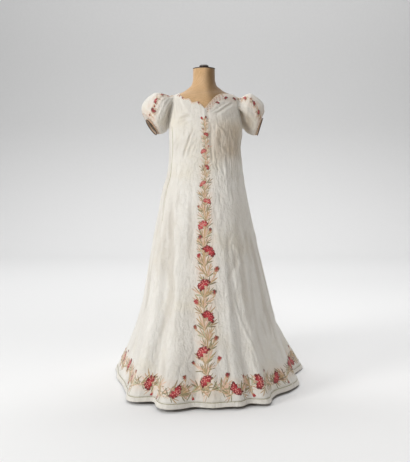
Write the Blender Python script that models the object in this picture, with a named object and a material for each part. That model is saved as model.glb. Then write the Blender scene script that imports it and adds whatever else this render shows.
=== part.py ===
# A Regency gown of fine muslin, worn by a limbless dress form on a turned stand.
#
# Metres, +Z up. The gown faces -Y, so the wearer's left side is at +X. The origin is the
# middle of the stand's underside, on the floor. All cloth follows one surface, given by an
# angle round the body (0 at centre front, 90 at the wearer's left, 180 at centre back) and
# a height. The panels are cut out of that surface along their seams and edges.

import math
from collections import namedtuple

import bmesh
import bpy
from mathutils import Vector

# ---------------------------------------------------------------- driving sizes

WALL = 0.0012            # thickness of the cloth
SEAM_GAP = 0.0003        # between two pieces that are sewn together
CLEARANCE = 0.0008       # between the cloth and the form that carries it
REST = WALL + CLEARANCE  # from the form's surface to the cloth's outer face

HEM_BAND_DEPTH = 0.018
ARMPIT_HEIGHT = 1.146
DRAPE_HEIGHT = 1.04      # above this the columns of a panel lean towards its top edge
BACK_LEAN = 0.4          # below 1 the back's columns lean early, and stay clear of the armhole
CENTRE_BACK_HEIGHT = 1.252

FORM_BOTTOM = 0.978
FORM_UNDERSIDE = 0.006   # depth of the rounded underside
FORM_SIDES = 28
FORM_NECK_TOP = 1.406
CAP_RADIUS = 0.0490
CAP_THICKNESS = 0.006
KNOB_RADIUS = 0.0205
KNOB_HEIGHT = 0.014
POLE_RADIUS = 0.014
PLATE_RADIUS = 0.055
PLATE_THICKNESS = 0.008
BASE_RADIUS = 0.170
BASE_HEIGHT = 0.045

GATHERS_PER_SLEEVE = 16
SLEEVE_GATHER_DEPTH = 0.0026
SLEEVE_STEPS_PER_SEGMENT = 3   # columns of a sleeve between two points of the armhole
CUFF_DEPTH = 0.010
CUFF_SIDES = 24

# Shares of a panel's length at which its rows lie, from the hem up.
PANEL_ROWS = [0, 0.025, 0.06, 0.105, 0.16, 0.22, 0.285, 0.355, 0.425, 0.495, 0.565, 0.63, 0.69,
              0.74, 0.785, 0.82, 0.85, 0.875, 0.9, 0.922, 0.942, 0.96, 0.975, 0.988, 1]
COLUMN_SAMPLES = 60      # points at which a column's length is measured

# Horizontal sections. half_width is across, front and back are depths from the centre,
# squareness is the exponent of the superellipse, 2 for an ellipse.
Section = namedtuple("Section", "height centre_x centre_y half_width front back squareness")

FORM_SECTIONS = [
    Section(0.978, 0, 0, 0.1240, 0.0940, 0.0860, 2.2),   # waist
    Section(1.030, 0, 0, 0.1280, 0.1000, 0.0890, 2.2),
    Section(1.080, 0, 0, 0.1360, 0.1080, 0.0930, 2.2),
    Section(1.125, 0, 0, 0.1450, 0.1210, 0.0980, 2.2),
    Section(1.165, 0, 0, 0.1500, 0.1290, 0.1020, 2.2),   # bust
    Section(1.200, 0, 0, 0.1510, 0.1240, 0.1040, 2.2),
    Section(1.235, 0, 0, 0.1530, 0.1120, 0.1010, 2.2),
    Section(1.258, 0, 0, 0.1525, 0.1000, 0.0940, 2.2),
    Section(1.273, 0, 0, 0.1490, 0.0905, 0.0860, 2.2),   # shoulder
    Section(1.283, 0, 0, 0.1415, 0.0830, 0.0800, 2.2),
    Section(1.2905, 0, 0, 0.1295, 0.0765, 0.0750, 2.2),
    Section(1.2975, 0, 0, 0.1120, 0.0695, 0.0690, 2.2),
    Section(1.304, 0, 0, 0.0960, 0.0635, 0.0640, 2.1),
    Section(1.316, 0, 0, 0.0775, 0.0565, 0.0575, 2.0),
    Section(1.337, 0, 0, 0.0550, 0.0510, 0.0520, 2.0),
    Section(1.365, 0, 0, 0.0485, 0.0480, 0.0480, 2.0),   # neck
    Section(1.406, 0, 0, 0.0480, 0.0480, 0.0480, 2.0),
]

# Heights of the rings that the form's skin runs through.
FORM_LEVELS = [FORM_BOTTOM, 1.005, 1.035, 1.07, 1.105, 1.14, 1.165, 1.19, 1.215, 1.24, 1.258,
               1.271, 1.281, 1.2895, 1.2975, 1.305, 1.316, 1.333, 1.36, FORM_NECK_TOP]

HANGING_SECTIONS = [
    Section(0.000, 0.012, 0.100, 0.425, 0.515, 0.500, 2.2),   # hem, with its short train
    Section(0.090, 0.012, 0.090, 0.385, 0.470, 0.410, 2.2),
    Section(0.187, 0.011, 0.075, 0.347, 0.420, 0.350, 2.2),
    Section(0.352, 0.010, 0.050, 0.298, 0.342, 0.285, 2.2),
    Section(0.594, 0.003, 0.020, 0.246, 0.242, 0.202, 2.2),
    Section(0.780, 0.000, 0.006, 0.207, 0.178, 0.149, 2.2),
    Section(0.872, 0.000, 0.002, 0.187, 0.154, 0.130, 2.2),
    Section(0.940, 0.005, 0.000, 0.171, 0.141, 0.119, 2.2),
    Section(0.985, 0.006, 0.000, 0.165, 0.134, 0.114, 2.2),   # waist
    Section(1.060, 0.005, 0.000, 0.160, 0.129, 0.108, 2.2),
    Section(1.130, 0.007, 0.000, 0.163, 0.131, 0.107, 2.2),
    Section(1.167, 0.006, 0.000, 0.164, 0.132, 0.107, 2.2),   # bust
    Section(1.202, 0.004, 0.000, 0.162, 0.127, 0.107, 2.2),
    Section(1.237, 0.002, 0.000, 0.158, 0.115, 0.104, 2.2),
]
GOWN_SECTIONS = HANGING_SECTIONS + [
    Section(s.height + REST, 0, 0, s.half_width + REST, s.front + REST, s.back + REST, s.squareness)
    for s in FORM_SECTIONS if 1.25 < s.height < 1.32]

# Angle of the side seams, which swing forward as they go down.
SeamRow = namedtuple("SeamRow", "height angle")
SIDE_SEAM = [SeamRow(0.0, 63), SeamRow(0.75, 64), SeamRow(0.87, 65), SeamRow(0.985, 71),
             SeamRow(1.06, 76), SeamRow(ARMPIT_HEIGHT, 80), SeamRow(1.3, 80)]

# Height of the hem's edge above the floor, round the gown.
HemRow = namedtuple("HemRow", "angle height")
HEM = [HemRow(-180, 0.003), HemRow(-110, 0.003), HemRow(-75, 0.004), HemRow(-50, 0.008),
       HemRow(-34, 0.014), HemRow(-22, 0.016), HemRow(-10, 0.013), HemRow(2, 0.011),
       HemRow(16, 0.014), HemRow(30, 0.012), HemRow(50, 0.012),
       HemRow(75, 0.008), HemRow(100, 0.004), HemRow(180, 0.003)]

# Folds of the skirt: ridges stand out, valleys (negative depth) go in. Each grows from
# nothing at its top to its depth at the floor, and moves from one angle to the other.
Fold = namedtuple("Fold", "top_angle hem_angle top depth spread growth")
FRONT_FOLDS = [
    Fold(-80, -68, 0.90, -0.022, 20, 1.2),
    Fold(-52, -41, 0.85, 0.046, 14, 1.8),
    Fold(-44, -30, 0.90, -0.014, 8, 0.7),
    Fold(-24, -19, 0.80, 0.056, 14, 2.8),
    Fold(-14, -4, 0.75, -0.013, 8, 1.8),
    Fold(8, 8, 0.60, -0.007, 12, 1.5),
    Fold(16, 16, 0.84, 0.007, 7, 1.2),
    Fold(25, 24, 0.88, -0.016, 8, 2.4),
    Fold(35, 32, 0.80, 0.024, 9, 2.6),
    Fold(55, 47, 0.74, -0.024, 14, 1.2),
    Fold(66, 70, 0.60, 0.014, 12, 1.2),
    Fold(84, 84, 0.30, -0.022, 7, 0.8),
]
BACK_FOLDS = [
    Fold(98, 99, 0.25, 0.052, 13, 0.7),
    Fold(112, 116, 0.90, -0.026, 11, 1.0),
    Fold(124, 130, 0.98, 0.030, 10, 0.9),
    Fold(138, 144, 1.00, -0.030, 10, 0.8),
    Fold(150, 157, 1.02, 0.034, 10, 0.8),
    Fold(164, 170, 1.00, -0.026, 9, 0.8),
    Fold(-176, -178, 1.04, 0.030, 9, 0.8),
    Fold(-160, -165, 1.00, -0.030, 10, 0.8),
    Fold(-146, -152, 1.02, 0.032, 10, 0.9),
    Fold(-133, -138, 0.98, -0.032, 10, 0.9),
    Fold(-121, -124, 0.95, 0.030, 10, 0.9),
    Fold(-108, -111, 0.90, -0.022, 9, 1.0),
    Fold(-97, -98, 0.22, 0.022, 11, 0.8),
]

# Edges of the panels' tops, across and up, from the side in. The neckline is cut higher on
# the wearer's left, lightly scalloped on the wearer's right, with a notch between.
EdgePoint = namedtuple("EdgePoint", "across height")
FRONT_ARMHOLE = {
    -1: [EdgePoint(-0.1545, 1.174), EdgePoint(-0.1505, 1.205), EdgePoint(-0.142, 1.238)],
    1: [EdgePoint(0.1665, 1.174), EdgePoint(0.161, 1.202), EdgePoint(0.154, 1.229)],
}
BACK_ARMHOLE = {
    -1: [EdgePoint(-0.148, 1.168), EdgePoint(-0.136, 1.199), EdgePoint(-0.1300, 1.234)],
    1: [EdgePoint(0.160, 1.168), EdgePoint(0.148, 1.197), EdgePoint(0.139, 1.230)],
}
FRONT_NECKLINE = {
    -1: [EdgePoint(-0.079, 1.2675), EdgePoint(-0.066, 1.2685), EdgePoint(-0.057, 1.260),
         EdgePoint(-0.051, 1.2515), EdgePoint(-0.041, 1.252), EdgePoint(-0.031, 1.2545),
         EdgePoint(-0.021, 1.248), EdgePoint(-0.009, 1.239)],
    1: [EdgePoint(0.084, 1.2927), EdgePoint(0.0695, 1.290), EdgePoint(0.0585, 1.285),
        EdgePoint(0.0495, 1.2785), EdgePoint(0.041, 1.270), EdgePoint(0.031, 1.258),
        EdgePoint(0.021, 1.246), EdgePoint(0.011, 1.2345)],
}
NOTCH = EdgePoint(0.0035, 1.2235)
BACK_NECK_POINTS = 8

# Straps over the shoulder, from the panel up to the seam on the ridge: the armhole edge and
# the neck edge, across and away from the ridge, which is to the front or to the back.
StrapRow = namedtuple("StrapRow", "arm_across arm_away neck_across neck_away")
FRONT_STRAP = {
    -1: [StrapRow(-0.1307, 0.0570, -0.0907, 0.0790), StrapRow(-0.1285, 0.0450, -0.1045, 0.0590),
         StrapRow(-0.1277, 0.0320, -0.1080, 0.0390), StrapRow(-0.1278, 0.0170, -0.1088, 0.0200),
         StrapRow(-0.1280, 0, -0.1090, 0)],
    1: [StrapRow(0.1475, 0.0540, 0.1000, 0.0540), StrapRow(0.1450, 0.0430, 0.1140, 0.0430),
        StrapRow(0.1435, 0.0300, 0.1220, 0.0320), StrapRow(0.1430, 0.0160, 0.1245, 0.0170),
        StrapRow(0.1430, 0, 0.1250, 0)],
}
BACK_STRAP = {
    -1: [StrapRow(-0.1230, 0.0610, -0.0930, 0.0640), StrapRow(-0.1245, 0.0480, -0.1030, 0.0510),
         StrapRow(-0.1262, 0.0330, -0.1070, 0.0350), StrapRow(-0.1275, 0.0170, -0.1085, 0.0180),
         StrapRow(-0.1280, 0, -0.1090, 0)],
    1: [StrapRow(0.1340, 0.0590, 0.1060, 0.0600), StrapRow(0.1365, 0.0460, 0.1160, 0.0470),
        StrapRow(0.1390, 0.0320, 0.1215, 0.0330), StrapRow(0.1415, 0.0160, 0.1240, 0.0170),
        StrapRow(0.1430, 0, 0.1250, 0)],
}
STRAP_COLUMNS = 4        # spaces between the columns of a strap

# Puffed sleeves. The cuff's centre, the way it faces (tilt below level, turn to the front),
# and how far the cloth stands out from the straight line between armhole and cuff.
Sleeve = namedtuple("Sleeve", "name side cuff_x cuff_y cuff_z tilt turn puff_top puff_side puff_under")
SLEEVES = [
    Sleeve("right", -1, -0.236, -0.006, 1.150, 36, 12, 0.066, 0.044, 0.010),
    Sleeve("left", 1, 0.252, 0.000, 1.153, 17, 3, 0.057, 0.044, 0.010),
]
CUFF_HALF_HEIGHT = 0.039
CUFF_HALF_WIDTH = 0.044
PUFF_OVERHANG = 0.020    # how far the fullest part hangs over towards the cuff
# Rings of a sleeve, from the armhole to the cuff: the share of the way along, of the puff and
# of the overhang.
SleeveRow = namedtuple("SleeveRow", "along swell hang")
SLEEVE_ROWS = [SleeveRow(0, 0, 0), SleeveRow(0.06, 0.03, 0), SleeveRow(0.15, 0.15, 0),
               SleeveRow(0.28, 0.62, 0.05), SleeveRow(0.44, 0.95, 0.25), SleeveRow(0.62, 1, 0.6),
               SleeveRow(0.80, 0.87, 0.95), SleeveRow(0.93, 0.48, 0.75), SleeveRow(1, 0, 0)]

MUSLIN = (0.80, 0.76, 0.69)
LINEN = (0.55, 0.36, 0.20)
DARK_WOOD = (0.035, 0.024, 0.018)
IRON = (0.04, 0.04, 0.042)


# ---------------------------------------------------------------- tables as curves

def table_curve(rows):
    """A smooth curve through a table's rows, with no overshoot; the first column is the way."""
    places = [row[0] for row in rows]
    steps = [b - a for a, b in zip(places, places[1:])]
    slopes = [[(b - a) / step for a, b in zip(row, following)]
              for row, following, step in zip(rows, rows[1:], steps)]

    def tangent(before, after):
        return 0.0 if before * after <= 0 else 2 * before * after / (before + after)

    inner = [[tangent(a, b) for a, b in zip(left, right)] for left, right in zip(slopes, slopes[1:])]
    tangents = [slopes[0]] + inner + [slopes[-1]]

    def curve(place):
        place = min(max(place, places[0]), places[-1])
        index = next((i for i in range(len(steps)) if place <= places[i + 1]), len(steps) - 1)
        step = steps[index]
        t = (place - places[index]) / step
        start, stop = rows[index], rows[index + 1]
        weights = (2 * t**3 - 3 * t**2 + 1, t**3 - 2 * t**2 + t, 3 * t**2 - 2 * t**3, t**3 - t**2)
        return [weights[0] * a + weights[1] * step * ta + weights[2] * b + weights[3] * step * tb
                for a, ta, b, tb in zip(start, tangents[index], stop, tangents[index + 1])]

    return curve


gown_section = table_curve(GOWN_SECTIONS)
form_section = table_curve(FORM_SECTIONS)
seam_curve = table_curve(SIDE_SEAM)
hem_curve = table_curve(HEM)


def seam_angle(height):
    return seam_curve(height)[1]


def hem_height(angle):
    return hem_curve((angle + 180) % 360 - 180)[1]


# ---------------------------------------------------------------- the gown's surface

def superellipse(section, angle):
    """Point of a section at an angle in degrees, and the outward direction there, both level."""
    _, centre_x, centre_y, half_width, front, back, squareness = section
    sine, cosine = math.sin(math.radians(angle)), math.cos(math.radians(angle))
    depth = front if cosine > 0 else back
    power = 2 / squareness
    x = half_width * math.copysign(abs(sine)**power, sine)
    y = -depth * math.copysign(abs(cosine)**power, cosine)
    outward = Vector((x / half_width**2, y / depth**2, 0)).normalized()
    return Vector((centre_x + x, centre_y + y, 0)), outward


def fold_offset(angle, height):
    """How far the folds push the cloth out, or in, at an angle and a height."""
    total = 0.0
    for fold in FRONT_FOLDS + BACK_FOLDS:
        if height >= fold.top:
            continue
        down = (fold.top - height) / fold.top
        middle = fold.top_angle + (fold.hem_angle - fold.top_angle) * down
        away = abs((angle - middle + 180) % 360 - 180)
        if away < fold.spread:
            total += fold.depth * down**fold.growth * math.cos(math.pi / 2 * away / fold.spread)**2
    return total


def gown_point(angle, height):
    point, outward = superellipse(gown_section(height), angle)
    point += outward * fold_offset(angle, height)
    point.z = height
    return point


def gown_normal(angle, height):
    turn, rise = 0.5, 0.0008
    across = gown_point(angle + turn, height) - gown_point(angle - turn, height)
    up = gown_point(angle, height + rise) - gown_point(angle, height - rise)
    return across.cross(up).normalized()


def edge_place(point, behind):
    """Angle and height on the gown of a point given across and up."""
    _, centre_x, _, half_width, _, _, squareness = gown_section(point.height)
    share = min(abs(point.across - centre_x) / half_width, 1)
    angle = math.degrees(math.asin(share**(squareness / 2)))
    if behind:
        angle = 180 - angle
    return math.copysign(angle, point.across - centre_x), point.height


def shoulder_place(across, away, behind):
    """Angle and height on the gown of a point given across and away from the shoulder's ridge."""
    low, high = 1.23, 1.31
    for _ in range(40):
        height = (low + high) / 2
        _, centre_x, centre_y, half_width, front, back, squareness = gown_section(height)
        sideways = (abs(across - centre_x) / half_width)**squareness
        lengthways = (away / (back if behind else front))**squareness
        if sideways + lengthways < 1:
            low = height
        else:
            high = height
    angle = math.degrees(math.atan2(math.sqrt(sideways), math.sqrt(lengthways)))
    return math.copysign(180 - angle if behind else angle, across), height


# ---------------------------------------------------------------- walls of cloth

def new_object(name, bm, colour, roughness, metallic=0.0, smooth=60):
    material = bpy.data.materials.new(name + "_finish")
    material.use_nodes = True
    shader = material.node_tree.nodes["Principled BSDF"]
    shader.inputs["Base Color"].default_value = (*colour, 1)
    shader.inputs["Roughness"].default_value = roughness
    shader.inputs["Metallic"].default_value = metallic
    mesh = bpy.data.meshes.new(name)
    bm.to_mesh(mesh)
    bm.free()
    mesh.materials.append(material)
    mesh.shade_smooth()
    mesh.set_sharp_from_angle(angle=math.radians(smooth))
    bpy.context.scene.collection.objects.link(bpy.data.objects.new(name, mesh))


def outward_area(points, directions, a, b, c):
    """Twice a triangle's area as seen from outside, negative where it faces in."""
    return (points[b] - points[a]).cross(points[c] - points[a]).dot(directions[a])


def cloth_wall(name, patches, closed=False):
    """A wall of cloth behind one or more grids of points that share edges, rimmed all round.

    A patch is a grid of points and a grid of outward directions. Its rows go up and the
    points along a row go towards the wearer's left, so that the outer face looks outwards.
    A closed wall is a tube: the last column of its patch meets the first.
    """
    points, directions, numbers, faces = [], [], {}, []
    for outer, normals in patches:
        grid = []
        for point_row, normal_row in zip(outer, normals):
            grid.append([])
            for point, normal in zip(point_row, normal_row):
                key = tuple(round(value * 1e6) for value in point)
                if key not in numbers:
                    numbers[key] = len(points)
                    points.append(point)
                    directions.append(normal)
                grid[-1].append(numbers[key])
        columns = len(grid[0])
        for low, high in zip(grid, grid[1:]):
            for j in range(columns if closed else columns - 1):
                k = (j + 1) % columns
                a, b, c, d = low[j], low[k], high[k], high[j]
                # Both faces of the wall get the same diagonal, which keeps its thickness.
                faces += max([(a, b, c), (a, c, d)], [(a, b, d), (b, c, d)],
                             key=lambda pair: min(outward_area(points, directions, *corners)
                                                  for corners in pair))

    bm = bmesh.new()
    out = [bm.verts.new(point) for point in points]
    inn = [bm.verts.new(point - normal * WALL) for point, normal in zip(points, directions)]
    edges = set()
    for face in faces:
        bm.faces.new([out[i] for i in face])
        bm.faces.new([inn[i] for i in reversed(face)])
        edges.update(zip(face, face[1:] + face[:1]))
    for a, b in sorted(edges):
        if (b, a) not in edges:
            bm.faces.new((out[b], out[a], inn[a], inn[b]))
    new_object(name, bm, MUSLIN, 0.85)


def patch_of(places):
    return [[gown_point(*place) for place in row] for row in places], \
           [[gown_normal(*place) for place in row] for row in places]


def trimmed(edge, neighbour):
    """An edge point moved half a seam gap into its piece."""
    return edge + (neighbour - edge).normalized() * SEAM_GAP / 2


def column_places(share, top, behind):
    """Angles and heights up one column of a panel, from the hem to its top place.

    share is -1 at the side seam on the wearer's right and 1 on the left, for the front;
    for the back it is 0 at the centre and 1 or -1 at the side seam.
    """
    def hanging_angle(height):
        seam = seam_angle(height)
        return math.copysign(180, share) - share * (180 - seam) if behind else share * seam

    on_seam = abs(share) in (0, 1)
    top_height = top[1]
    top_across = superellipse(gown_section(top_height), top[0])[0].x
    bottom = hem_height(hanging_angle(0)) + HEM_BAND_DEPTH + SEAM_GAP
    samples, lengths = [], [0.0]
    for i in range(COLUMN_SAMPLES + 1):
        height = top_height - (top_height - bottom) * (1 - i / COLUMN_SAMPLES)**2
        place = (hanging_angle(height), height)
        if not on_seam and height > DRAPE_HEIGHT:
            lean = (height - DRAPE_HEIGHT) / (top_height - DRAPE_HEIGHT)
            if behind:
                place = (place[0] + (top[0] - hanging_angle(top_height)) * lean**BACK_LEAN, height)
            else:
                low = superellipse(gown_section(height), place[0])[0].x
                place = edge_place(EdgePoint(low + (top_across - low) * lean, height), False)
        samples.append(place)
        if i:
            lengths.append(lengths[-1] + (gown_point(*samples[-1]) - gown_point(*samples[-2])).length)
    samples[-1] = top
    places = [samples[0]]
    for row in PANEL_ROWS[1:-1]:
        target = lengths[-1] * row
        i = next(i for i, length in enumerate(lengths) if length >= target)
        part = (target - lengths[i - 1]) / (lengths[i] - lengths[i - 1])
        places.append(tuple(a + (b - a) * part for a, b in zip(samples[i - 1], samples[i])))
    return places + [top]


def strap_places(table, behind):
    """Rows of a strap, each from its smaller to its larger across."""
    rows = []
    for row in table:
        line = []
        for j in range(STRAP_COLUMNS + 1):
            share = j / STRAP_COLUMNS
            line.append(shoulder_place(row.arm_across + (row.neck_across - row.arm_across) * share,
                                       row.arm_away + (row.neck_away - row.arm_away) * share, behind))
        rows.append(line)
    return rows


def panel(name, columns, straps):
    """One cut piece of cloth: its columns, and the straps that go on from its top."""
    outer, normals = patch_of(list(zip(*columns)))
    for row in outer:
        row[0], row[-1] = trimmed(row[0], row[1]), trimmed(row[-1], row[-2])
    patches = [(outer, normals)]
    for strap in straps:
        outer, normals = patch_of(strap)
        outer[-1] = [trimmed(point, below) for point, below in zip(outer[-1], outer[-2])]
        patches.append((outer, normals))
    cloth_wall(name, patches)


def back_neckline(side):
    """Back neckline from the strap down to the centre back, in a shallow curve."""
    start = gown_point(*shoulder_place(BACK_STRAP[side][0].neck_across,
                                       BACK_STRAP[side][0].neck_away, True))
    points = []
    for i in range(1, BACK_NECK_POINTS):
        turn = math.pi / 2 * i / BACK_NECK_POINTS
        drop = (start.z - CENTRE_BACK_HEIGHT) * math.sin(turn)
        points.append(EdgePoint(start.x * math.cos(turn), start.z - drop))
    return points


def make_front():
    armpits = {side: (side * seam_angle(ARMPIT_HEIGHT), ARMPIT_HEIGHT) for side in (-1, 1)}
    straps = {side: strap_places(FRONT_STRAP[side], False) for side in (-1, 1)}
    halves = {side: [armpits[side]] + [edge_place(point, False) for point in FRONT_ARMHOLE[side]]
              + straps[side][0] + [edge_place(point, False) for point in FRONT_NECKLINE[side]]
              for side in (-1, 1)}
    top = halves[-1] + [edge_place(NOTCH, False)] + halves[1][::-1]
    columns = [column_places(2 * j / (len(top) - 1) - 1, place, False)
               for j, place in enumerate(top)]
    mirrored = [row[::-1] for row in straps[1]]
    panel("gown_front", columns, [straps[-1], mirrored])
    return columns, straps


def make_back(name, side):
    armpit = (side * seam_angle(ARMPIT_HEIGHT), ARMPIT_HEIGHT)
    strap = strap_places(BACK_STRAP[side], True)
    top = [armpit] + [edge_place(point, True) for point in BACK_ARMHOLE[side]] + strap[0]
    top += [edge_place(point, True) for point in back_neckline(side)]
    top.append((side * 180, CENTRE_BACK_HEIGHT))
    columns = []
    for j, place in enumerate(top):
        share = math.copysign(1 - j / (len(top) - 1), side)
        columns.append(column_places(share, place, True))
    if side > 0:
        panel(name, columns, [strap])
    else:
        panel(name, columns[::-1], [[row[::-1] for row in strap]])
    return columns, strap


def make_hem_band(name, columns):
    """A plain band below a panel, on the same folds."""
    angles = [column[0][0] for column in columns]
    outer, normals = patch_of([[(angle, hem_height(angle) + lift) for angle in angles]
                               for lift in (0, HEM_BAND_DEPTH)])
    for row in outer:
        row[0], row[-1] = trimmed(row[0], row[1]), trimmed(row[-1], row[-2])
    cloth_wall(name, [(outer, normals)])


# ---------------------------------------------------------------- sleeves and cuffs

def armhole_ring(side, front, front_strap, back, back_strap):
    """Closed line a seam's gap inside an armhole, from the armpit up the front and down the back."""
    count = len(FRONT_ARMHOLE[side]) + 1
    places = [column[-1] for column in front[:count]] + [row[0] for row in front_strap]
    places += [row[0] for row in back_strap[-2::-1]] + [column[-1] for column in back[count - 1:0:-1]]
    points = [gown_point(*place) for place in places]
    normals = [gown_normal(*place) for place in places]
    centre = sum(points, Vector()) / len(points)
    ring = []
    for j, (point, normal) in enumerate(zip(points, normals)):
        after = (j + 1) % len(points)
        for step in range(SLEEVE_STEPS_PER_SEGMENT):
            share = step / SLEEVE_STEPS_PER_SEGMENT
            on_edge = point.lerp(points[after], share)
            outward = normal.lerp(normals[after], share).normalized()
            inward = centre - on_edge
            inward = (inward - outward * inward.dot(outward)).normalized()
            ring.append(on_edge + inward * SEAM_GAP)
    return ring


def cuff_frame(sleeve):
    """Centre of the cuff's open edge, and its facing, upward and forward directions."""
    tilt, turn = math.radians(sleeve.tilt), math.radians(sleeve.turn)
    facing = Vector((sleeve.side * math.cos(tilt) * math.cos(turn), -math.sin(turn),
                     -math.sin(tilt) * math.cos(turn)))
    upward = Vector((sleeve.side * math.sin(tilt), 0, math.cos(tilt)))
    forward = upward.cross(facing) * -sleeve.side
    return Vector((sleeve.cuff_x, sleeve.cuff_y, sleeve.cuff_z)), facing, upward, forward.normalized()


def make_sleeve(sleeve, ring):
    centre, facing, upward, forward = cuff_frame(sleeve)
    mouth = centre - facing * (CUFF_DEPTH + SEAM_GAP)
    count = len(ring)
    grid = []
    for along, swell, hang in SLEEVE_ROWS:
        row = []
        for j, start in enumerate(ring):
            turn = 2 * math.pi * j / count
            spread = -upward * math.cos(turn) + forward * math.sin(turn)
            stop = mouth - upward * CUFF_HALF_HEIGHT * math.cos(turn)
            stop += forward * CUFF_HALF_WIDTH * math.sin(turn)
            top_share = (1 - math.cos(turn)) / 2
            puff = sleeve.puff_under + (sleeve.puff_top - sleeve.puff_under) * top_share**1.5
            puff += (sleeve.puff_side - (sleeve.puff_top + sleeve.puff_under) / 2) * math.sin(turn)**2
            gathered = min(along * 12, (1 - along) * 12, 1) * (1 - 0.5 * math.sin(math.pi * along))
            gathered *= 0.35 + 0.65 * top_share    # most of the fullness is over the top
            crease = math.cos(GATHERS_PER_SLEEVE * turn) * SLEEVE_GATHER_DEPTH * gathered
            row.append(start.lerp(stop, along) + spread * (puff * swell + crease)
                       + facing * (PUFF_OVERHANG * top_share * hang))
        grid.append(row)
    if sleeve.side > 0:   # so that the outer face looks outwards on the wearer's left too
        grid = [row[::-1] for row in grid]
    cloth_wall("sleeve_" + sleeve.name, [(grid, tube_normals(grid))], closed=True)


def tube_normals(grid):
    normals = []
    for i, row in enumerate(grid):
        below, above = grid[max(i - 1, 0)], grid[min(i + 1, len(grid) - 1)]
        count = len(row)
        normals.append([(row[(j + 1) % count] - row[j - 1]).cross(above[j] - below[j]).normalized()
                        for j in range(count)])
    return normals


def make_cuff(sleeve):
    centre, facing, upward, forward = cuff_frame(sleeve)
    grid = []
    for back in (CUFF_DEPTH, 0):
        row = []
        for j in range(CUFF_SIDES):
            turn = 2 * math.pi * j / CUFF_SIDES * -sleeve.side
            row.append(centre - facing * back - upward * CUFF_HALF_HEIGHT * math.cos(turn)
                       + forward * CUFF_HALF_WIDTH * math.sin(turn))
        grid.append(row)
    cloth_wall("cuff_" + sleeve.name, [(grid, tube_normals(grid))], closed=True)


# ---------------------------------------------------------------- dress form and stand

def skin_rings(bm, rings):
    """Closed skin through rings of points, from the lowest up."""
    verts = [[bm.verts.new(point) for point in ring] for ring in rings]
    for low, high in zip(verts, verts[1:]):
        for j in range(len(low)):
            k = (j + 1) % len(low)
            bm.faces.new((low[j], low[k], high[k], high[j]))
    bm.faces.new(verts[0][::-1])
    bm.faces.new(verts[-1])


def make_form():
    """Closed torso of sections from the waist to the neck, its underside a little rounded."""
    rings = [[superellipse(form_section(height), 360 * j / FORM_SIDES)[0] * scale
              + Vector((0, 0, height - drop)) for j in range(FORM_SIDES)]
             for height, scale, drop in
             [(FORM_BOTTOM, 0.5, FORM_UNDERSIDE), (FORM_BOTTOM, 0.93, FORM_UNDERSIDE - 0.001)]
             + [(height, 1, 0) for height in FORM_LEVELS]]
    bm = bmesh.new()
    skin_rings(bm, rings)
    new_object("form_torso", bm, LINEN, 0.9)


def turned_piece(name, profile, sides, colour, roughness, metallic=0.0):
    """A solid of revolution. The profile is radius and height pairs, from the bottom up."""
    bm = bmesh.new()
    skin_rings(bm, [[(radius * math.sin(2 * math.pi * j / sides),
                      -radius * math.cos(2 * math.pi * j / sides), height)
                     for j in range(sides)] for radius, height in profile])
    new_object(name, bm, colour, roughness, metallic, smooth=35)


def make_stand():
    cap = FORM_NECK_TOP + SEAM_GAP
    turned_piece("form_neck_cap",
                 [(CAP_RADIUS - 0.001, cap), (CAP_RADIUS, cap + 0.0015), (CAP_RADIUS, cap + 0.0035),
                  (CAP_RADIUS * 0.82, cap + CAP_THICKNESS * 0.85), (CAP_RADIUS * 0.5, cap + CAP_THICKNESS)],
                 32, DARK_WOOD, 0.45)
    knob = cap + CAP_THICKNESS + SEAM_GAP
    turned_piece("form_neck_knob",
                 [(KNOB_RADIUS * 0.8, knob), (KNOB_RADIUS, knob + KNOB_HEIGHT * 0.35),
                  (KNOB_RADIUS, knob + KNOB_HEIGHT * 0.6), (KNOB_RADIUS * 0.72, knob + KNOB_HEIGHT * 0.9),
                  (KNOB_RADIUS * 0.3, knob + KNOB_HEIGHT)], 24, DARK_WOOD, 0.4)
    plate = FORM_BOTTOM - FORM_UNDERSIDE - SEAM_GAP
    turned_piece("stand_pole",
                 [(POLE_RADIUS * 1.9, BASE_HEIGHT + SEAM_GAP), (POLE_RADIUS * 1.9, BASE_HEIGHT + 0.03),
                  (POLE_RADIUS, BASE_HEIGHT + 0.045), (POLE_RADIUS, plate - 0.035),
                  (POLE_RADIUS * 1.7, plate - PLATE_THICKNESS), (PLATE_RADIUS, plate - PLATE_THICKNESS),
                  (PLATE_RADIUS, plate)], 20, DARK_WOOD, 0.5)
    turned_piece("stand_base",
                 [(BASE_RADIUS - 0.004, 0), (BASE_RADIUS, 0.004), (BASE_RADIUS, 0.012),
                  (BASE_RADIUS - 0.008, 0.018), (BASE_RADIUS * 0.55, 0.026), (BASE_RADIUS * 0.3, 0.036),
                  (POLE_RADIUS * 2.3, BASE_HEIGHT)], 36, IRON, 0.45, 0.6)


# ---------------------------------------------------------------- build

def build():
    for old in list(bpy.data.objects):
        bpy.data.objects.remove(old, do_unlink=True)
    make_form()
    make_stand()
    front, front_straps = make_front()
    make_hem_band("hem_band_front", front)
    for sleeve in SLEEVES:
        back, back_strap = make_back("gown_back_" + sleeve.name, sleeve.side)
        make_hem_band("hem_band_back_" + sleeve.name, back if sleeve.side > 0 else back[::-1])
        from_armpit = front if sleeve.side < 0 else front[::-1]
        make_sleeve(sleeve, armhole_ring(sleeve.side, from_armpit, front_straps[sleeve.side],
                                         back, back_strap))
        make_cuff(sleeve)


build()
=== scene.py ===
# Embroidered muslin gown with puffed sleeves on a dress form.
# The gown faces -Y, so the wearer's left is at +X. All cloth follows one surface, given by
# an angle round the body (0 at centre front, 90 at the wearer's left) and a height.
import math

import bpy
import numpy as np
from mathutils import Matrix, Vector
from mathutils.bvhtree import BVHTree


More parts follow.
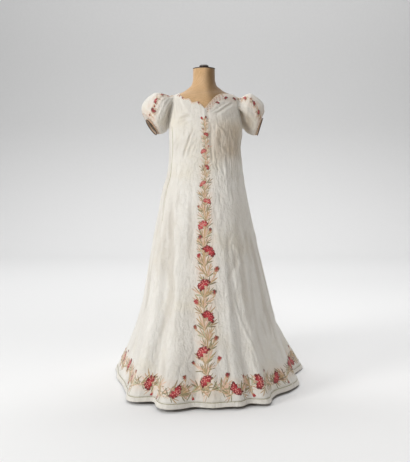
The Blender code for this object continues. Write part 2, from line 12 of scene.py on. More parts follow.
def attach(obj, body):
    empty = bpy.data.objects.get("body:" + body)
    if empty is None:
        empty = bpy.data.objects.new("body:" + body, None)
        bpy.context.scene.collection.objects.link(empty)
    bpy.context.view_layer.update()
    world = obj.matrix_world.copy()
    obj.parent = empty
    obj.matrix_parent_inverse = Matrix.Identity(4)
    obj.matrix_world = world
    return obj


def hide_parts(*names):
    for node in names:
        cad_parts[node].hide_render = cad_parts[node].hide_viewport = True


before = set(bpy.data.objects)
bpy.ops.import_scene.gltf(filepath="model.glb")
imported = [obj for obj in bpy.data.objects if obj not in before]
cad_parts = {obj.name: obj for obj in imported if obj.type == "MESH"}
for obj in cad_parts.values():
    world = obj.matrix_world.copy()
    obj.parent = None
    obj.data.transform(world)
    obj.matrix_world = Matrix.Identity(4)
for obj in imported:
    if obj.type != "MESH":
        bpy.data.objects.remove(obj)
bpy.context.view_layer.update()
bpy.ops.object.select_all(action="DESELECT")
print("frame loaded")

gown = {
    "wall": 0.0009,
    "sections": [   # height, centre x and y, half width, depth in front and behind, squareness
        (0.000, 0.012, 0.100, 0.425, 0.515, 0.500, 2.2),
        (0.090, 0.012, 0.090, 0.385, 0.470, 0.410, 2.2),
        (0.187, 0.011, 0.075, 0.347, 0.420, 0.350, 2.2),
        (0.352, 0.010, 0.050, 0.298, 0.342, 0.285, 2.2),
        (0.594, 0.003, 0.020, 0.246, 0.242, 0.202, 2.2),
        (0.780, 0.000, 0.006, 0.207, 0.178, 0.149, 2.2),
        (0.872, 0.000, 0.002, 0.187, 0.154, 0.130, 2.2),
        (0.940, 0.005, 0.000, 0.171, 0.141, 0.119, 2.2),
        (0.985, 0.006, 0.000, 0.165, 0.134, 0.114, 2.2),
        (1.060, 0.005, 0.000, 0.160, 0.129, 0.108, 2.2),
        (1.130, 0.007, 0.000, 0.163, 0.131, 0.107, 2.2),
        (1.167, 0.006, 0.000, 0.164, 0.132, 0.107, 2.2),
        (1.202, 0.004, 0.000, 0.162, 0.127, 0.107, 2.2),
        (1.237, 0.002, 0.000, 0.158, 0.115, 0.104, 2.2),
        (1.260, 0, 0, 0.1545, 0.1020, 0.0960, 2.2),
        (1.275, 0, 0, 0.1510, 0.0925, 0.0880, 2.2),
        (1.285, 0, 0, 0.1435, 0.0850, 0.0820, 2.2),
        (1.2925, 0, 0, 0.1315, 0.0785, 0.0770, 2.2),
        (1.2995, 0, 0, 0.1140, 0.0715, 0.0710, 2.2),
        (1.306, 0, 0, 0.0980, 0.0655, 0.0660, 2.1),
        (1.318, 0, 0, 0.0795, 0.0585, 0.0595, 2.0),
    ],
    "sideSeam": [   # height and angle
        (0.0, 63), (0.75, 64), (0.87, 65), (0.985, 71), (1.06, 76), (1.146, 80), (1.3, 80)],
    "hem": [        # angle and height
        (-180, 0.003), (-110, 0.003), (-75, 0.004), (-50, 0.008), (-34, 0.014), (-22, 0.016),
        (-10, 0.013), (2, 0.011), (16, 0.014), (30, 0.012), (50, 0.012), (75, 0.008),
        (100, 0.004), (180, 0.003)],
    "folds": [      # angle at the top and at the hem, height of its top, depth, spread, growth
        (-80, -68, 0.90, -0.022, 20, 1.2),
        (-52, -41, 0.85, 0.046, 14, 1.8),
        (-44, -30, 0.90, -0.014, 8, 0.7),
        (-24, -19, 0.80, 0.056, 14, 2.8),
        (-14, -4, 0.75, -0.013, 8, 1.8),
        (8, 8, 0.60, -0.007, 12, 1.5),
        (16, 16, 0.84, 0.007, 7, 1.2),
        (25, 24, 0.88, -0.016, 8, 2.4),
        (35, 32, 0.80, 0.024, 9, 2.6),
        (55, 47, 0.74, -0.024, 14, 1.2),
        (66, 70, 0.60, 0.014, 12, 1.2),
        (84, 84, 0.30, -0.022, 7, 0.8),
        (98, 99, 0.25, 0.052, 13, 0.7),
        (112, 116, 0.90, -0.026, 11, 1.0),
        (124, 130, 0.98, 0.030, 10, 0.9),
        (138, 144, 1.00, -0.030, 10, 0.8),
        (150, 157, 1.02, 0.034, 10, 0.8),
        (164, 170, 1.00, -0.026, 9, 0.8),
        (-176, -178, 1.04, 0.030, 9, 0.8),
        (-160, -165, 1.00, -0.030, 10, 0.8),
        (-146, -152, 1.02, 0.032, 10, 0.9),
        (-133, -138, 0.98, -0.032, 10, 0.9),
        (-121, -124, 0.95, 0.030, 10, 0.9),
        (-108, -111, 0.90, -0.022, 9, 1.0),
        (-97, -98, 0.22, 0.022, 11, 0.8),
    ],
    "armpit": 1.146,
    "drape": 1.04,           # above this the threads of a panel lean towards its top edge
    "leanPower": {False: 1, True: 0.4},         # how that lean grows in front and behind
    "bandDepth": 0.018,
    "centreBack": 1.252,
    "seamGap": 0.0003,
    "offForm": 0.0004,       # least room between the cloth and the form
    "softStop": 0.0005,      # a crease that reaches the form lies flat on it
    # Edges of the panels' tops, across and up, from the side in.
    "frontArmhole": {-1: [(-0.1545, 1.174), (-0.1505, 1.205), (-0.142, 1.238)],
                     1: [(0.1665, 1.174), (0.161, 1.202), (0.154, 1.229)]},
    "backArmhole": {-1: [(-0.148, 1.168), (-0.136, 1.199), (-0.1300, 1.234)],
                    1: [(0.160, 1.168), (0.148, 1.197), (0.139, 1.230)]},
    "neckline": {-1: [(-0.079, 1.2675), (-0.066, 1.2685), (-0.057, 1.260), (-0.051, 1.2515),
                      (-0.041, 1.252), (-0.031, 1.2545), (-0.021, 1.248), (-0.009, 1.239)],
                 1: [(0.084, 1.2927), (0.0695, 1.290), (0.0585, 1.285), (0.0495, 1.2785),
                     (0.041, 1.270), (0.031, 1.258), (0.021, 1.246), (0.011, 1.2345)]},
    "notch": (0.0035, 1.2235),
    # Straps: armhole edge and neck edge, each across and away from the shoulder's ridge.
    "frontStrap": {-1: [(-0.1307, 0.0570, -0.0907, 0.0790), (-0.1285, 0.0450, -0.1045, 0.0590),
                        (-0.1277, 0.0320, -0.1080, 0.0390), (-0.1278, 0.0170, -0.1088, 0.0200),
                        (-0.1280, 0, -0.1090, 0)],
                   1: [(0.1475, 0.0540, 0.1000, 0.0540), (0.1450, 0.0430, 0.1140, 0.0430),
                       (0.1435, 0.0300, 0.1220, 0.0320), (0.1430, 0.0160, 0.1245, 0.0170),
                       (0.1430, 0, 0.1250, 0)]},
    "backStrap": {-1: [(-0.1230, 0.0610, -0.0930, 0.0640), (-0.1245, 0.0480, -0.1030, 0.0510),
                       (-0.1262, 0.0330, -0.1070, 0.0350), (-0.1275, 0.0170, -0.1085, 0.0180),
                       (-0.1280, 0, -0.1090, 0)],
                  1: [(0.1340, 0.0590, 0.1060, 0.0600), (0.1365, 0.0460, 0.1160, 0.0470),
                      (0.1390, 0.0320, 0.1215, 0.0330), (0.1415, 0.0160, 0.1240, 0.0170),
                      (0.1430, 0, 0.1250, 0)]},
    "perUnit": 6,            # columns between two points of a top edge
}

# Creases pressed or pulled into the cloth: places (angle, height) along each, how far it
# stands out, its half width in metres, and how it fades towards its start and its end.
creases = [
    # gathers below the wearer's right strap
    ([(-52, 1.272), (-47, 1.236), (-45, 1.196)], -0.0022, 0.0055, 0.1, 0.9),
    ([(-47, 1.272), (-42, 1.238), (-40, 1.204)], -0.0020, 0.0050, 0.1, 0.9),
    ([(-43, 1.271), (-37, 1.238), (-34, 1.212)], -0.0016, 0.0050, 0.1, 0.9),
    ([(-58, 1.262), (-54, 1.226), (-53, 1.180)], -0.0020, 0.0065, 0.1, 0.9),
    ([(-38, 1.268), (-31, 1.240), (-27, 1.218)], 0.0014, 0.0060, 0.2, 0.9),
    # pulls across the bust on the wearer's right
    ([(-42, 1.182), (-31, 1.190), (-20, 1.199)], -0.0048, 0.0050, 0.6, 0.7),
    ([(-41, 1.194), (-30, 1.201), (-22, 1.208)], 0.0030, 0.0050, 0.7, 0.8),
    ([(-46, 1.166), (-36, 1.170), (-27, 1.178)], -0.0026, 0.0056, 0.7, 0.8),
    ([(-17, 1.142), (-23, 1.098), (-30, 1.048), (-35, 1.004)], -0.0050, 0.0060, 0.6, 0.8),
    ([(-13, 1.140), (-19, 1.096), (-26, 1.046), (-31, 1.004)], 0.0034, 0.0060, 0.7, 0.8),
    ([(-52, 1.120), (-50, 1.060), (-52, 1.000)], -0.0018, 0.0100, 0.8, 0.8),
    ([(-62, 1.150), (-60, 1.080), (-61, 1.010)], -0.0022, 0.0110, 0.8, 0.8),
    # the seam at the wearer's right side
    ([(-66, 1.190), (-67.5, 1.136), (-71, 1.050), (-67, 0.984), (-65.5, 0.940), (-62, 0.874),
      (-61.5, 0.810), (-58.5, 0.758), (-56, 0.660)], -0.0046, 0.0032, 0.2, 0.7),
    ([(-62.5, 1.190), (-63.5, 1.136), (-66, 1.050), (-63, 0.984), (-62, 0.940), (-58.5, 0.874),
      (-58, 0.810)], 0.0030, 0.0050, 0.3, 0.8),
    # the cloth caught up under the notch
    ([(-1.0, 1.222), (-0.5, 1.200), (-0.5, 1.176)], 0.0024, 0.0040, 0.1, 0.6),
    ([(3.2, 1.222), (3.2, 1.198), (3.6, 1.170)], -0.0032, 0.0040, 0.1, 0.6),
    # drapes from the wearer's left strap down to the notch
    ([(50, 1.252), (35, 1.236), (22, 1.214), (10, 1.199)], -0.0032, 0.0044, 0.5, 0.6),
    ([(40, 1.256), (27, 1.240), (15, 1.221), (6, 1.205)], -0.0022, 0.0038, 0.6, 0.6),
    ([(48, 1.260), (33, 1.240), (19, 1.218), (8, 1.202)], 0.0022, 0.0036, 0.5, 0.5),
    ([(54, 1.240), (38, 1.224), (25, 1.203), (14, 1.186)], 0.0026, 0.0056, 0.5, 0.8),
    ([(58, 1.224), (46, 1.204), (34, 1.186), (24, 1.172)], -0.0018, 0.0090, 0.8, 0.9),
    ([(34, 1.263), (22, 1.247), (12, 1.230)], 0.0012, 0.0040, 0.5, 0.7),
    # folds that fall from the bust on the wearer's left
    ([(7.4, 1.160), (6.8, 1.110), (8.0, 1.060), (9.4, 1.000)], -0.0036, 0.0044, 0.7, 0.9),
    ([(12, 1.150), (13, 1.100), (15, 1.040)], 0.0011, 0.0060, 0.8, 0.9),
    ([(20, 1.150), (23, 1.090), (25, 1.020), (26, 0.960)], -0.0016, 0.0080, 0.8, 0.8),
    ([(30, 1.140), (33, 1.070), (34, 1.000)], -0.0020, 0.0075, 0.8, 0.8),
    ([(40, 1.140), (42, 1.070), (42, 0.990)], -0.0024, 0.0070, 0.8, 0.8),
    ([(48, 1.136), (50, 1.070), (50, 0.990)], 0.0022, 0.0070, 0.8, 0.8),
    ([(56, 1.130), (57, 1.060), (57, 0.980)], -0.0024, 0.0070, 0.8, 0.8),
    ([(64, 1.140), (64, 1.060), (62, 0.980)], -0.0026, 0.0080, 0.8, 0.8),
    ([(71, 1.150), (70, 1.080), (68, 1.010)], 0.0026, 0.0070, 0.6, 0.8),
    ([(34, 1.010), (33, 0.960), (33, 0.910)], -0.0016, 0.0045, 0.5, 0.9),
    ([(38, 1.005), (38, 0.960), (37, 0.900)], -0.0016, 0.0045, 0.5, 0.9),
    ([(43, 1.010), (43, 0.955), (42, 0.905)], -0.0018, 0.0045, 0.5, 0.9),
    ([(47, 1.000), (48, 0.950), (47, 0.890)], -0.0016, 0.0045, 0.5, 0.9),
    ([(52, 1.000), (53, 0.950), (52, 0.900)], -0.0018, 0.0050, 0.5, 0.9),
    # the skirt in front
    ([(-43, 0.860), (-37, 0.706), (-29, 0.460), (-31, 0.376), (-34, 0.292), (-35, 0.205)],
     -0.0060, 0.0150, 0.9, 0.8),
    ([(-50, 0.800), (-45, 0.640), (-40, 0.480)], -0.0022, 0.0140, 0.9, 0.9),
    ([(-14, 0.860), (-12.4, 0.666), (-12.4, 0.540)], -0.0030, 0.0120, 0.9, 0.9),
    ([(-68, 0.640), (-67, 0.480), (-64, 0.340)], -0.0045, 0.0140, 0.9, 0.9),
    ([(-60, 0.520), (-57, 0.360), (-54, 0.200)], 0.0040, 0.0150, 0.9, 0.7),
    ([(-24, 0.560), (-22, 0.400), (-23, 0.260)], 0.0026, 0.0130, 0.9, 0.8),
    ([(16, 0.860), (12.6, 0.666), (11.4, 0.540)], 0.0020, 0.0110, 0.9, 0.8),
    ([(18, 0.650), (17.2, 0.482), (16.6, 0.342), (17, 0.230)], 0.0024, 0.0100, 0.8, 0.8),
    ([(26, 0.760), (21.5, 0.562), (20, 0.422), (21, 0.300)], -0.0012, 0.0080, 0.8, 0.9),
    ([(41, 0.760), (37, 0.560), (35, 0.416), (33, 0.300)], -0.0034, 0.0130, 0.8, 0.9),
    ([(34, 0.700), (29, 0.540), (27, 0.420)], -0.0012, 0.0060, 0.8, 0.9),
    ([(48, 0.700), (43, 0.516), (40, 0.376)], 0.0020, 0.0110, 0.8, 0.9),
    ([(50, 0.740), (46, 0.560), (42, 0.400), (41, 0.240)], -0.0030, 0.0110, 0.8, 0.9),
    ([(23, 0.430), (26.4, 0.328), (29.2, 0.278), (32, 0.230), (33, 0.186), (33, 0.120)],
     0.0050, 0.0050, 0.8, 0.5),
    ([(58, 0.700), (61, 0.570), (60.5, 0.460), (59.5, 0.350), (58.5, 0.220)],
     -0.0070, 0.0120, 0.8, 0.8),
    ([(66, 0.560), (68, 0.420), (70, 0.250)], 0.0045, 0.0120, 0.8, 0.8),
    ([(76, 0.640), (78, 0.460), (79, 0.300)], -0.0045, 0.0130, 0.9, 0.8),
    ([(14, 0.300), (13, 0.200), (13, 0.100)], -0.0030, 0.0100, 0.9, 0.4),
    ([(4, 0.260), (3, 0.160), (3, 0.040)], 0.0034, 0.0110, 0.9, 0.1),
    ([(-6, 0.240), (-6, 0.140), (-5, 0.040)], -0.0030, 0.0110, 0.9, 0.1),
    ([(21, 0.200), (21, 0.120), (20, 0.040)], 0.0030, 0.0100, 0.9, 0.1),
    ([(38, 0.180), (39, 0.110), (38, 0.040)], -0.0040, 0.0100, 0.9, 0.1),
    ([(-28, 0.200), (-26, 0.120), (-26, 0.040)], -0.0034, 0.0100, 0.9, 0.1),
    # the sides and the back
    ([(86, 1.120), (88, 1.060), (92, 0.980)], -0.0022, 0.0080, 0.6, 0.8),
    ([(98, 1.150), (100, 1.080), (104, 1.000)], -0.0024, 0.0090, 0.5, 0.8),
    ([(-88, 1.130), (-90, 1.060), (-94, 0.980)], -0.0022, 0.0080, 0.6, 0.8),
    ([(-100, 1.150), (-103, 1.080), (-106, 1.000)], -0.0024, 0.0090, 0.5, 0.8),
    ([(112, 1.190), (118, 1.120), (120, 1.050)], 0.0020, 0.0090, 0.5, 0.8),
    ([(-113, 1.190), (-118, 1.120), (-121, 1.050)], 0.0020, 0.0090, 0.5, 0.8),
    ([(128, 1.240), (134, 1.170), (138, 1.100)], -0.0022, 0.0090, 0.3, 0.8),
    ([(-130, 1.240), (-135, 1.170), (-138, 1.100)], -0.0022, 0.0090, 0.3, 0.8),
    ([(150, 1.250), (153, 1.180), (154, 1.100), (152, 1.020)], -0.0030, 0.0070, 0.1, 0.9),
    ([(158, 1.252), (160, 1.190), (161, 1.120), (160, 1.040)], 0.0026, 0.0060, 0.1, 0.9),
    ([(166, 1.252), (167, 1.180), (168, 1.100), (168, 1.000)], -0.0030, 0.0060, 0.1, 0.9),
    ([(173, 1.252), (174, 1.190), (174, 1.110)], 0.0024, 0.0055, 0.1, 0.9),
    ([(-151, 1.250), (-153, 1.170), (-154, 1.090), (-153, 1.000)], -0.0030, 0.0070, 0.1, 0.9),
    ([(-159, 1.252), (-161, 1.190), (-162, 1.110)], 0.0026, 0.0060, 0.1, 0.9),
    ([(-167, 1.252), (-168, 1.180), (-169, 1.090), (-168, 0.990)], -0.0030, 0.0060, 0.1, 0.9),
    ([(-174, 1.252), (-175, 1.190), (-175, 1.120)], 0.0024, 0.0055, 0.1, 0.9),
    ([(104, 0.800), (107, 0.560), (108, 0.330)], -0.0050, 0.0150, 0.9, 0.8),
    ([(118, 0.760), (122, 0.520), (124, 0.300)], 0.0045, 0.0150, 0.9, 0.8),
    ([(132, 0.860), (136, 0.620), (138, 0.380)], 0.0040, 0.0130, 0.9, 0.8),
    ([(145, 0.900), (149, 0.640), (151, 0.400), (152, 0.200)], -0.0055, 0.0150, 0.9, 0.8),
    ([(158, 0.860), (162, 0.600), (164, 0.360)], 0.0045, 0.0140, 0.9, 0.8),
    ([(172, 0.900), (175, 0.640), (176, 0.400)], -0.0045, 0.0140, 0.9, 0.8),
    ([(-104, 0.780), (-105, 0.540), (-105, 0.300)], -0.0050, 0.0150, 0.9, 0.8),
    ([(-117, 0.760), (-118, 0.520), (-117, 0.260)], 0.0045, 0.0150, 0.9, 0.8),
    ([(-128, 0.880), (-131, 0.640), (-131, 0.400)], -0.0045, 0.0140, 0.9, 0.8),
    ([(-141, 0.900), (-145, 0.660), (-145, 0.420), (-144, 0.200)], 0.0050, 0.0150, 0.9, 0.8),
    ([(-156, 0.860), (-159, 0.600), (-158, 0.380)], -0.0050, 0.0140, 0.9, 0.8),
    ([(-169, 0.900), (-172, 0.660), (-171, 0.440)], 0.0045, 0.0140, 0.9, 0.8),
    ([(-80, 0.700), (-82, 0.500), (-84, 0.300)], 0.0040, 0.0140, 0.9, 0.8),
    ([(-90, 0.560), (-91, 0.380), (-90, 0.200)], -0.0045, 0.0130, 0.9, 0.8),
    ([(92, 0.640), (93, 0.460), (93, 0.260)], 0.0040, 0.0140, 0.9, 0.8),
]


def curveThrough(rows):         # smooth curve through a table's rows, with no overshoot
    table = np.array(rows, float)
    places, values = table[:, 0], table[:, 1:]
    steps = np.diff(places)
    slopes = np.diff(values, axis=0) / steps[:, None]
    before, after = slopes[:-1], slopes[1:]
    agree = before * after > 0
    inner = np.where(agree, 2 * before * after / np.where(agree, before + after, 1), 0)
    tangents = np.vstack([slopes[:1], inner, slopes[-1:]])

    def at(place):
        place = np.clip(place, places[0], places[-1])
        i = np.clip(np.searchsorted(places, place, side="left") - 1, 0, len(steps) - 1)
        step = steps[i][..., None]
        t = ((place - places[i]) / steps[i])[..., None]
        return ((2 * t**3 - 3 * t**2 + 1) * values[i] + (t**3 - 2 * t**2 + t) * step * tangents[i]
                + (3 * t**2 - 2 * t**3) * values[i + 1] + (t**3 - t**2) * step * tangents[i + 1])

    return at


dressForm = {
    "sections": [   # as the gown's
        (0.978, 0, 0, 0.1240, 0.0940, 0.0860, 2.2),
        (1.030, 0, 0, 0.1280, 0.1000, 0.0890, 2.2),
        (1.080, 0, 0, 0.1360, 0.1080, 0.0930, 2.2),
        (1.125, 0, 0, 0.1450, 0.1210, 0.0980, 2.2),
        (1.165, 0, 0, 0.1500, 0.1290, 0.1020, 2.2),
        (1.200, 0, 0, 0.1510, 0.1240, 0.1040, 2.2),
        (1.235, 0, 0, 0.1530, 0.1120, 0.1010, 2.2),
        (1.258, 0, 0, 0.1525, 0.1000, 0.0940, 2.2),
        (1.273, 0, 0, 0.1490, 0.0905, 0.0860, 2.2),
        (1.283, 0, 0, 0.1415, 0.0830, 0.0800, 2.2),
        (1.2905, 0, 0, 0.1295, 0.0765, 0.0750, 2.2),
        (1.2975, 0, 0, 0.1120, 0.0695, 0.0690, 2.2),
        (1.304, 0, 0, 0.0960, 0.0635, 0.0640, 2.1),
        (1.316, 0, 0, 0.0775, 0.0565, 0.0575, 2.0),
        (1.337, 0, 0, 0.0550, 0.0510, 0.0520, 2.0),
        (1.365, 0, 0, 0.0485, 0.0480, 0.0480, 2.0),
        (1.406, 0, 0, 0.0480, 0.0480, 0.0480, 2.0),
    ],
    "bottom": 0.978,
    "underside": 0.006,
    "neckTop": 1.406,
    "fine": (1.24, 1.33),       # the shoulders have closer rows, between these heights
    "rows": (70, 50, 24),       # rows below, between and above them
    "columns": 144,
    # Rings inside the outline at the bottom and at the top: share of its size, share of depth.
    "under": [(0.02, 1), (0.5, 1), (0.93, 0.85), (0.985, 0.4)],
    "over": [0.98, 0.5, 0.02],
}

sectionAt = curveThrough(gown["sections"])
formAt = curveThrough(dressForm["sections"])
seamAt = curveThrough(gown["sideSeam"])
hemAt = curveThrough(gown["hem"])


def seamAngle(height):
    return seamAt(np.asarray(height, float))[..., 0]


def hemHeight(angle):
    return hemAt((np.asarray(angle, float) + 180) % 360 - 180)[..., 0]


def foldOffset(angle, height):
    total = np.zeros(np.broadcast(angle, height).shape)
    for topAngle, hemAngle, top, depth, spread, growth in gown["folds"]:
        down = np.clip((top - height) / top, 0, 1)
        middle = topAngle + (hemAngle - topAngle) * down
        away = np.abs((angle - middle + 180) % 360 - 180)
        total += np.where(away < spread, depth * down**growth
                          * np.cos(np.pi / 2 * np.minimum(away / spread, 1))**2, 0)
    return total


def ovalPoint(section, angle):  # x and y from a section's centre, and its half sizes there
    halfWidth, front, back, squareness = np.moveaxis(section, -1, 0)[2:]
    sine, cosine = np.sin(np.radians(angle)), np.cos(np.radians(angle))
    depth = np.where(cosine > 0, front, back)
    x = halfWidth * np.sign(sine) * np.abs(sine)**(2 / squareness)
    y = -depth * np.sign(cosine) * np.abs(cosine)**(2 / squareness)
    return x, y, halfWidth, depth


def asArrays(*numbers):
    return np.broadcast_arrays(*[np.asarray(number, float) for number in numbers])


def foldedPoint(angle, height):
    angle, height = asArrays(angle, height)
    section = sectionAt(height)
    centreX, centreY = section[..., 0], section[..., 1]
    x, y, halfWidth, depth = ovalPoint(section, angle)
    outX, outY = x / halfWidth**2, y / depth**2
    push = foldOffset(angle, height) / np.hypot(outX, outY)
    return np.stack([centreX + x + outX * push, centreY + y + outY * push, height], -1)


def unit(vectors):
    return vectors / np.maximum(np.linalg.norm(vectors, axis=-1, keepdims=True), 1e-12)


def outward(surface, angle, height, turn=0.4, rise=0.0008):
    across = surface(angle + turn, height) - surface(angle - turn, height)
    up = surface(angle, height + rise) - surface(angle, height - rise)
    return unit(np.cross(across, up))


def metresPerDegree(height):
    section = sectionAt(height)
    return (section[..., 2] + (section[..., 3] + section[..., 4]) / 2) * math.pi / 360


rumples = [     # small creases: angles and heights between, how many, lean in degrees, depth,
                # half width, length
    (7, 17, 0.96, 1.165, 12, 6, 0.0022, 0.0036, 0.060),
    (17, 64, 1.02, 1.165, 46, 16, 0.0021, 0.0042, 0.060),
    (14, 62, 0.84, 1.03, 34, 4, 0.0019, 0.0046, 0.080),
    (-20, -6, 0.98, 1.15, 10, -22, 0.0016, 0.0040, 0.055),
    (-58, -16, 1.00, 1.19, 26, -20, 0.0013, 0.0048, 0.055),
    (-62, -8, 0.80, 1.00, 16, 0, 0.0013, 0.0060, 0.080),
    (-62, -8, 0.12, 0.80, 34, 0, 0.0018, 0.0090, 0.150),
    (8, 62, 0.12, 0.84, 44, -3, 0.0022, 0.0080, 0.140),
    (64, 178, 0.86, 1.18, 40, 8, 0.0018, 0.0050, 0.080),
    (-178, -64, 0.86, 1.18, 40, -8, 0.0018, 0.0050, 0.080),
    (64, 178, 0.10, 0.86, 50, 0, 0.0024, 0.0100, 0.170),
    (-178, -64, 0.10, 0.86, 50, 0, 0.0024, 0.0100, 0.170),
]


def smallCreases():
    rng, made = np.random.default_rng(41), []
    for left, right, low, high, count, lean, depth, halfWidth, length in rumples:
        for i in range(count):
            angle, height = rng.uniform(left, right), rng.uniform(low, high)
            reach = length * rng.uniform(0.6, 1.5) / 2
            tilt = math.radians(rng.normal(lean, 14))
            perDegree = float(metresPerDegree(np.array(height)))
            across = reach * math.sin(tilt) / perDegree
            bow = rng.normal(0, 0.12) * reach / perDegree
            up = reach * math.cos(tilt)
            path = [(angle - across, height + up), (angle + bow, height),
                    (angle + across, height - up)]
            if path[0][1] < high + 0.02:
                made.append((path, depth * rng.uniform(0.5, 1.3) * (-1)**i,
                             halfWidth * rng.uniform(0.75, 1.3), 0.9, 0.9))
    return made


def creaseOffset(angle, height):
    total = np.zeros(angle.shape)
    scale = metresPerDegree(height)
    for path, depth, halfWidth, fadeIn, fadeOut in creases:
        path = np.array(path, float)
        middle = path[:, 0].mean()
        near = np.abs((angle - middle + 180) % 360 - 180) < np.ptp(path[:, 0]) / 2 + 12
        near &= (height > path[:, 1].min() - 0.04) & (height < path[:, 1].max() + 0.04)
        if not near.any():
            continue
        turned = middle + (angle[near] - middle + 180) % 360 - 180
        x, y, perDegree = turned, height[near], scale[near]
        best, along = np.full(x.shape, 9.0), np.zeros(x.shape)
        lengths = np.hypot(np.diff(path[:, 0]) * perDegree.mean(), np.diff(path[:, 1]))
        starts = np.concatenate([[0], np.cumsum(lengths)]) / lengths.sum()
        for k, (a, b) in enumerate(zip(path, path[1:])):
            dx, dy = (b[0] - a[0]) * perDegree, b[1] - a[1]
            px, py = (x - a[0]) * perDegree, y - a[1]
            t = np.clip((px * dx + py * dy) / (dx**2 + dy**2), 0, 1)
            distance = np.hypot(px - t * dx, py - t * dy)
            closer = distance < best
            best = np.where(closer, distance, best)
            along = np.where(closer, starts[k] + (starts[k + 1] - starts[k]) * t, along)
        rise = np.sin(np.pi / 2 * np.clip(along / max(fadeIn * 0.5, 0.02), 0, 1))
        fall = np.sin(np.pi / 2 * np.clip((1 - along) / max(fadeOut * 0.5, 0.02), 0, 1))
        total[near] += depth * rise * fall * np.exp(-(best / halfWidth)**2)
    return total


creases += smallCreases()


def formSize(points):            # 1 on the dress form's surface, more outside it
    section = formAt(points[..., 2])
    x = np.abs(points[..., 0] - section[..., 0]) / section[..., 2]
    depth = np.where(points[..., 1] < section[..., 1], section[..., 3], section[..., 4])
    y = np.abs(points[..., 1] - section[..., 1]) / depth
    return (x**section[..., 5] + y**section[..., 5])**(1 / section[..., 5])


def roomOver(points):           # how far points stand off the dress form
    step = 0.0005
    slope = [(formSize(points + s) - formSize(points - s)) / (2 * step) for s in np.eye(3) * step]
    room = (formSize(points) - 1) / np.maximum(np.sqrt(sum(g**2 for g in slope)), 1)
    return np.where(points[..., 2] < dressForm["bottom"] - 0.004, 0.05, room)


def clothPoint(angle, height):
    angle, height = asArrays(angle, height)
    point, soft = foldedPoint(angle, height), gown["softStop"]
    room = np.maximum(roomOver(point) - gown["wall"] - gown["offForm"], 0)
    rumple = soft * np.logaddexp(0, (creaseOffset(angle, height) + room) / soft) - room
    return point + outward(foldedPoint, angle, height) * rumple[..., None]


def edgeAngle(across, height, behind):
    section = sectionAt(height)
    share = np.minimum(np.abs(across - section[..., 0]) / section[..., 2], 1)
    angle = np.degrees(np.arcsin(share**(section[..., 5] / 2)))
    return np.copysign(np.where(behind, 180 - angle, angle), across - section[..., 0])


def shoulderPlace(across, away, behind):
    low, high = np.full(across.shape, 1.23), np.full(across.shape, 1.31)
    for _ in range(40):         # halves the range of heights each time
        height = (low + high) / 2
        section = sectionAt(height)
        sideways = (np.abs(across - section[..., 0]) / section[..., 2])**section[..., 5]
        lengthways = (away / section[..., 4 if behind else 3])**section[..., 5]
        inside = sideways + lengthways < 1
        low, high = np.where(inside, height, low), np.where(inside, high, height)
    angle = np.degrees(np.arctan2(np.sqrt(sideways), np.sqrt(lengthways)))
    return np.copysign(180 - angle if behind else angle, across), height


def throughPoints(points, perUnit):     # soft line through points, with a corner at each end
    points = np.array(points, float)
    padded = np.vstack([2 * points[0] - points[1], points, 2 * points[-1] - points[-2]])
    line = []
    for a, b, c, d in zip(padded, padded[1:], padded[2:], padded[3:]):
        for t in np.arange(perUnit) / perUnit:
            line.append(((2 * b) + (c - a) * t + (2 * a - 5 * b + 4 * c - d) * t**2
                         + (3 * b - a - 3 * c + d) * t**3) / 2)
    return np.array(line + [points[-1]])


def topLine(side, behind):      # fine top edge of half a panel, from the armpit to the centre
    per = gown["perUnit"]
    strap = gown["backStrap" if behind else "frontStrap"][side][0]
    share = np.arange(4 * per + 1) / (4 * per)
    across, away = (strap[i] + (strap[i + 2] - strap[i]) * share for i in (0, 1))
    onStrap = np.stack(shoulderPlace(across, away, behind), -1)
    if behind:
        start = foldedPoint(*onStrap[-1])
        turns = np.pi / 2 * np.arange(1, 8) / 8
        neck = [(start[0] * math.cos(t), start[2] - (start[2] - gown["centreBack"]) * math.sin(t))
                for t in turns]
        end = (side * 180, gown["centreBack"])
    else:
        neck = gown["neckline"][side]
        end = (float(edgeAngle(*np.array(gown["notch"]), False)), gown["notch"][1])
    arm = [(float(edgeAngle(np.array(x), np.array(z), behind)), z)
           for x, z in gown["backArmhole" if behind else "frontArmhole"][side]]
    neck = [(float(edgeAngle(np.array(x), np.array(z), behind)), z) for x, z in neck]
    armpit = (side * float(seamAngle(gown["armpit"])), gown["armpit"])
    armLine = throughPoints([armpit] + arm + [tuple(onStrap[0])], per)
    neckLine = throughPoints([tuple(onStrap[-1])] + neck + [end], per)
    return np.vstack([armLine[:-1], onStrap, neckLine[1:]])


def panelPlaces(shares, tops, behind, rowShares):   # angle and height at each row and column
    def hanging(height):
        seam, share = seamAngle(height), shares[:, None]
        return np.copysign(180, share) - share * (180 - seam) if behind else share * seam

    topHeights = tops[:, 1:2]
    bottoms = hemHeight(hanging(np.zeros((len(shares), 1)))) + gown["bandDepth"] + gown["seamGap"]
    heights = topHeights - (topHeights - bottoms) * (1 - np.arange(121) / 120)**2
    lean = np.clip((heights - gown["drape"]) / (topHeights - gown["drape"]), 0, 1)
    lean = lean**gown["leanPower"][behind]
    angles = hanging(heights) + (tops[:, :1] - hanging(topHeights)) * lean
    points = foldedPoint(angles, heights)
    lengths = np.cumsum(np.linalg.norm(np.diff(points, axis=1), axis=-1), axis=1)
    lengths = np.hstack([np.zeros((len(shares), 1)), lengths])
    places = np.empty((len(rowShares), len(shares), 2))
    for j, length in enumerate(lengths):
        places[:, j, 0] = np.interp(rowShares * length[-1], length, angles[j])
        places[:, j, 1] = np.interp(rowShares * length[-1], length, heights[j])
    return places


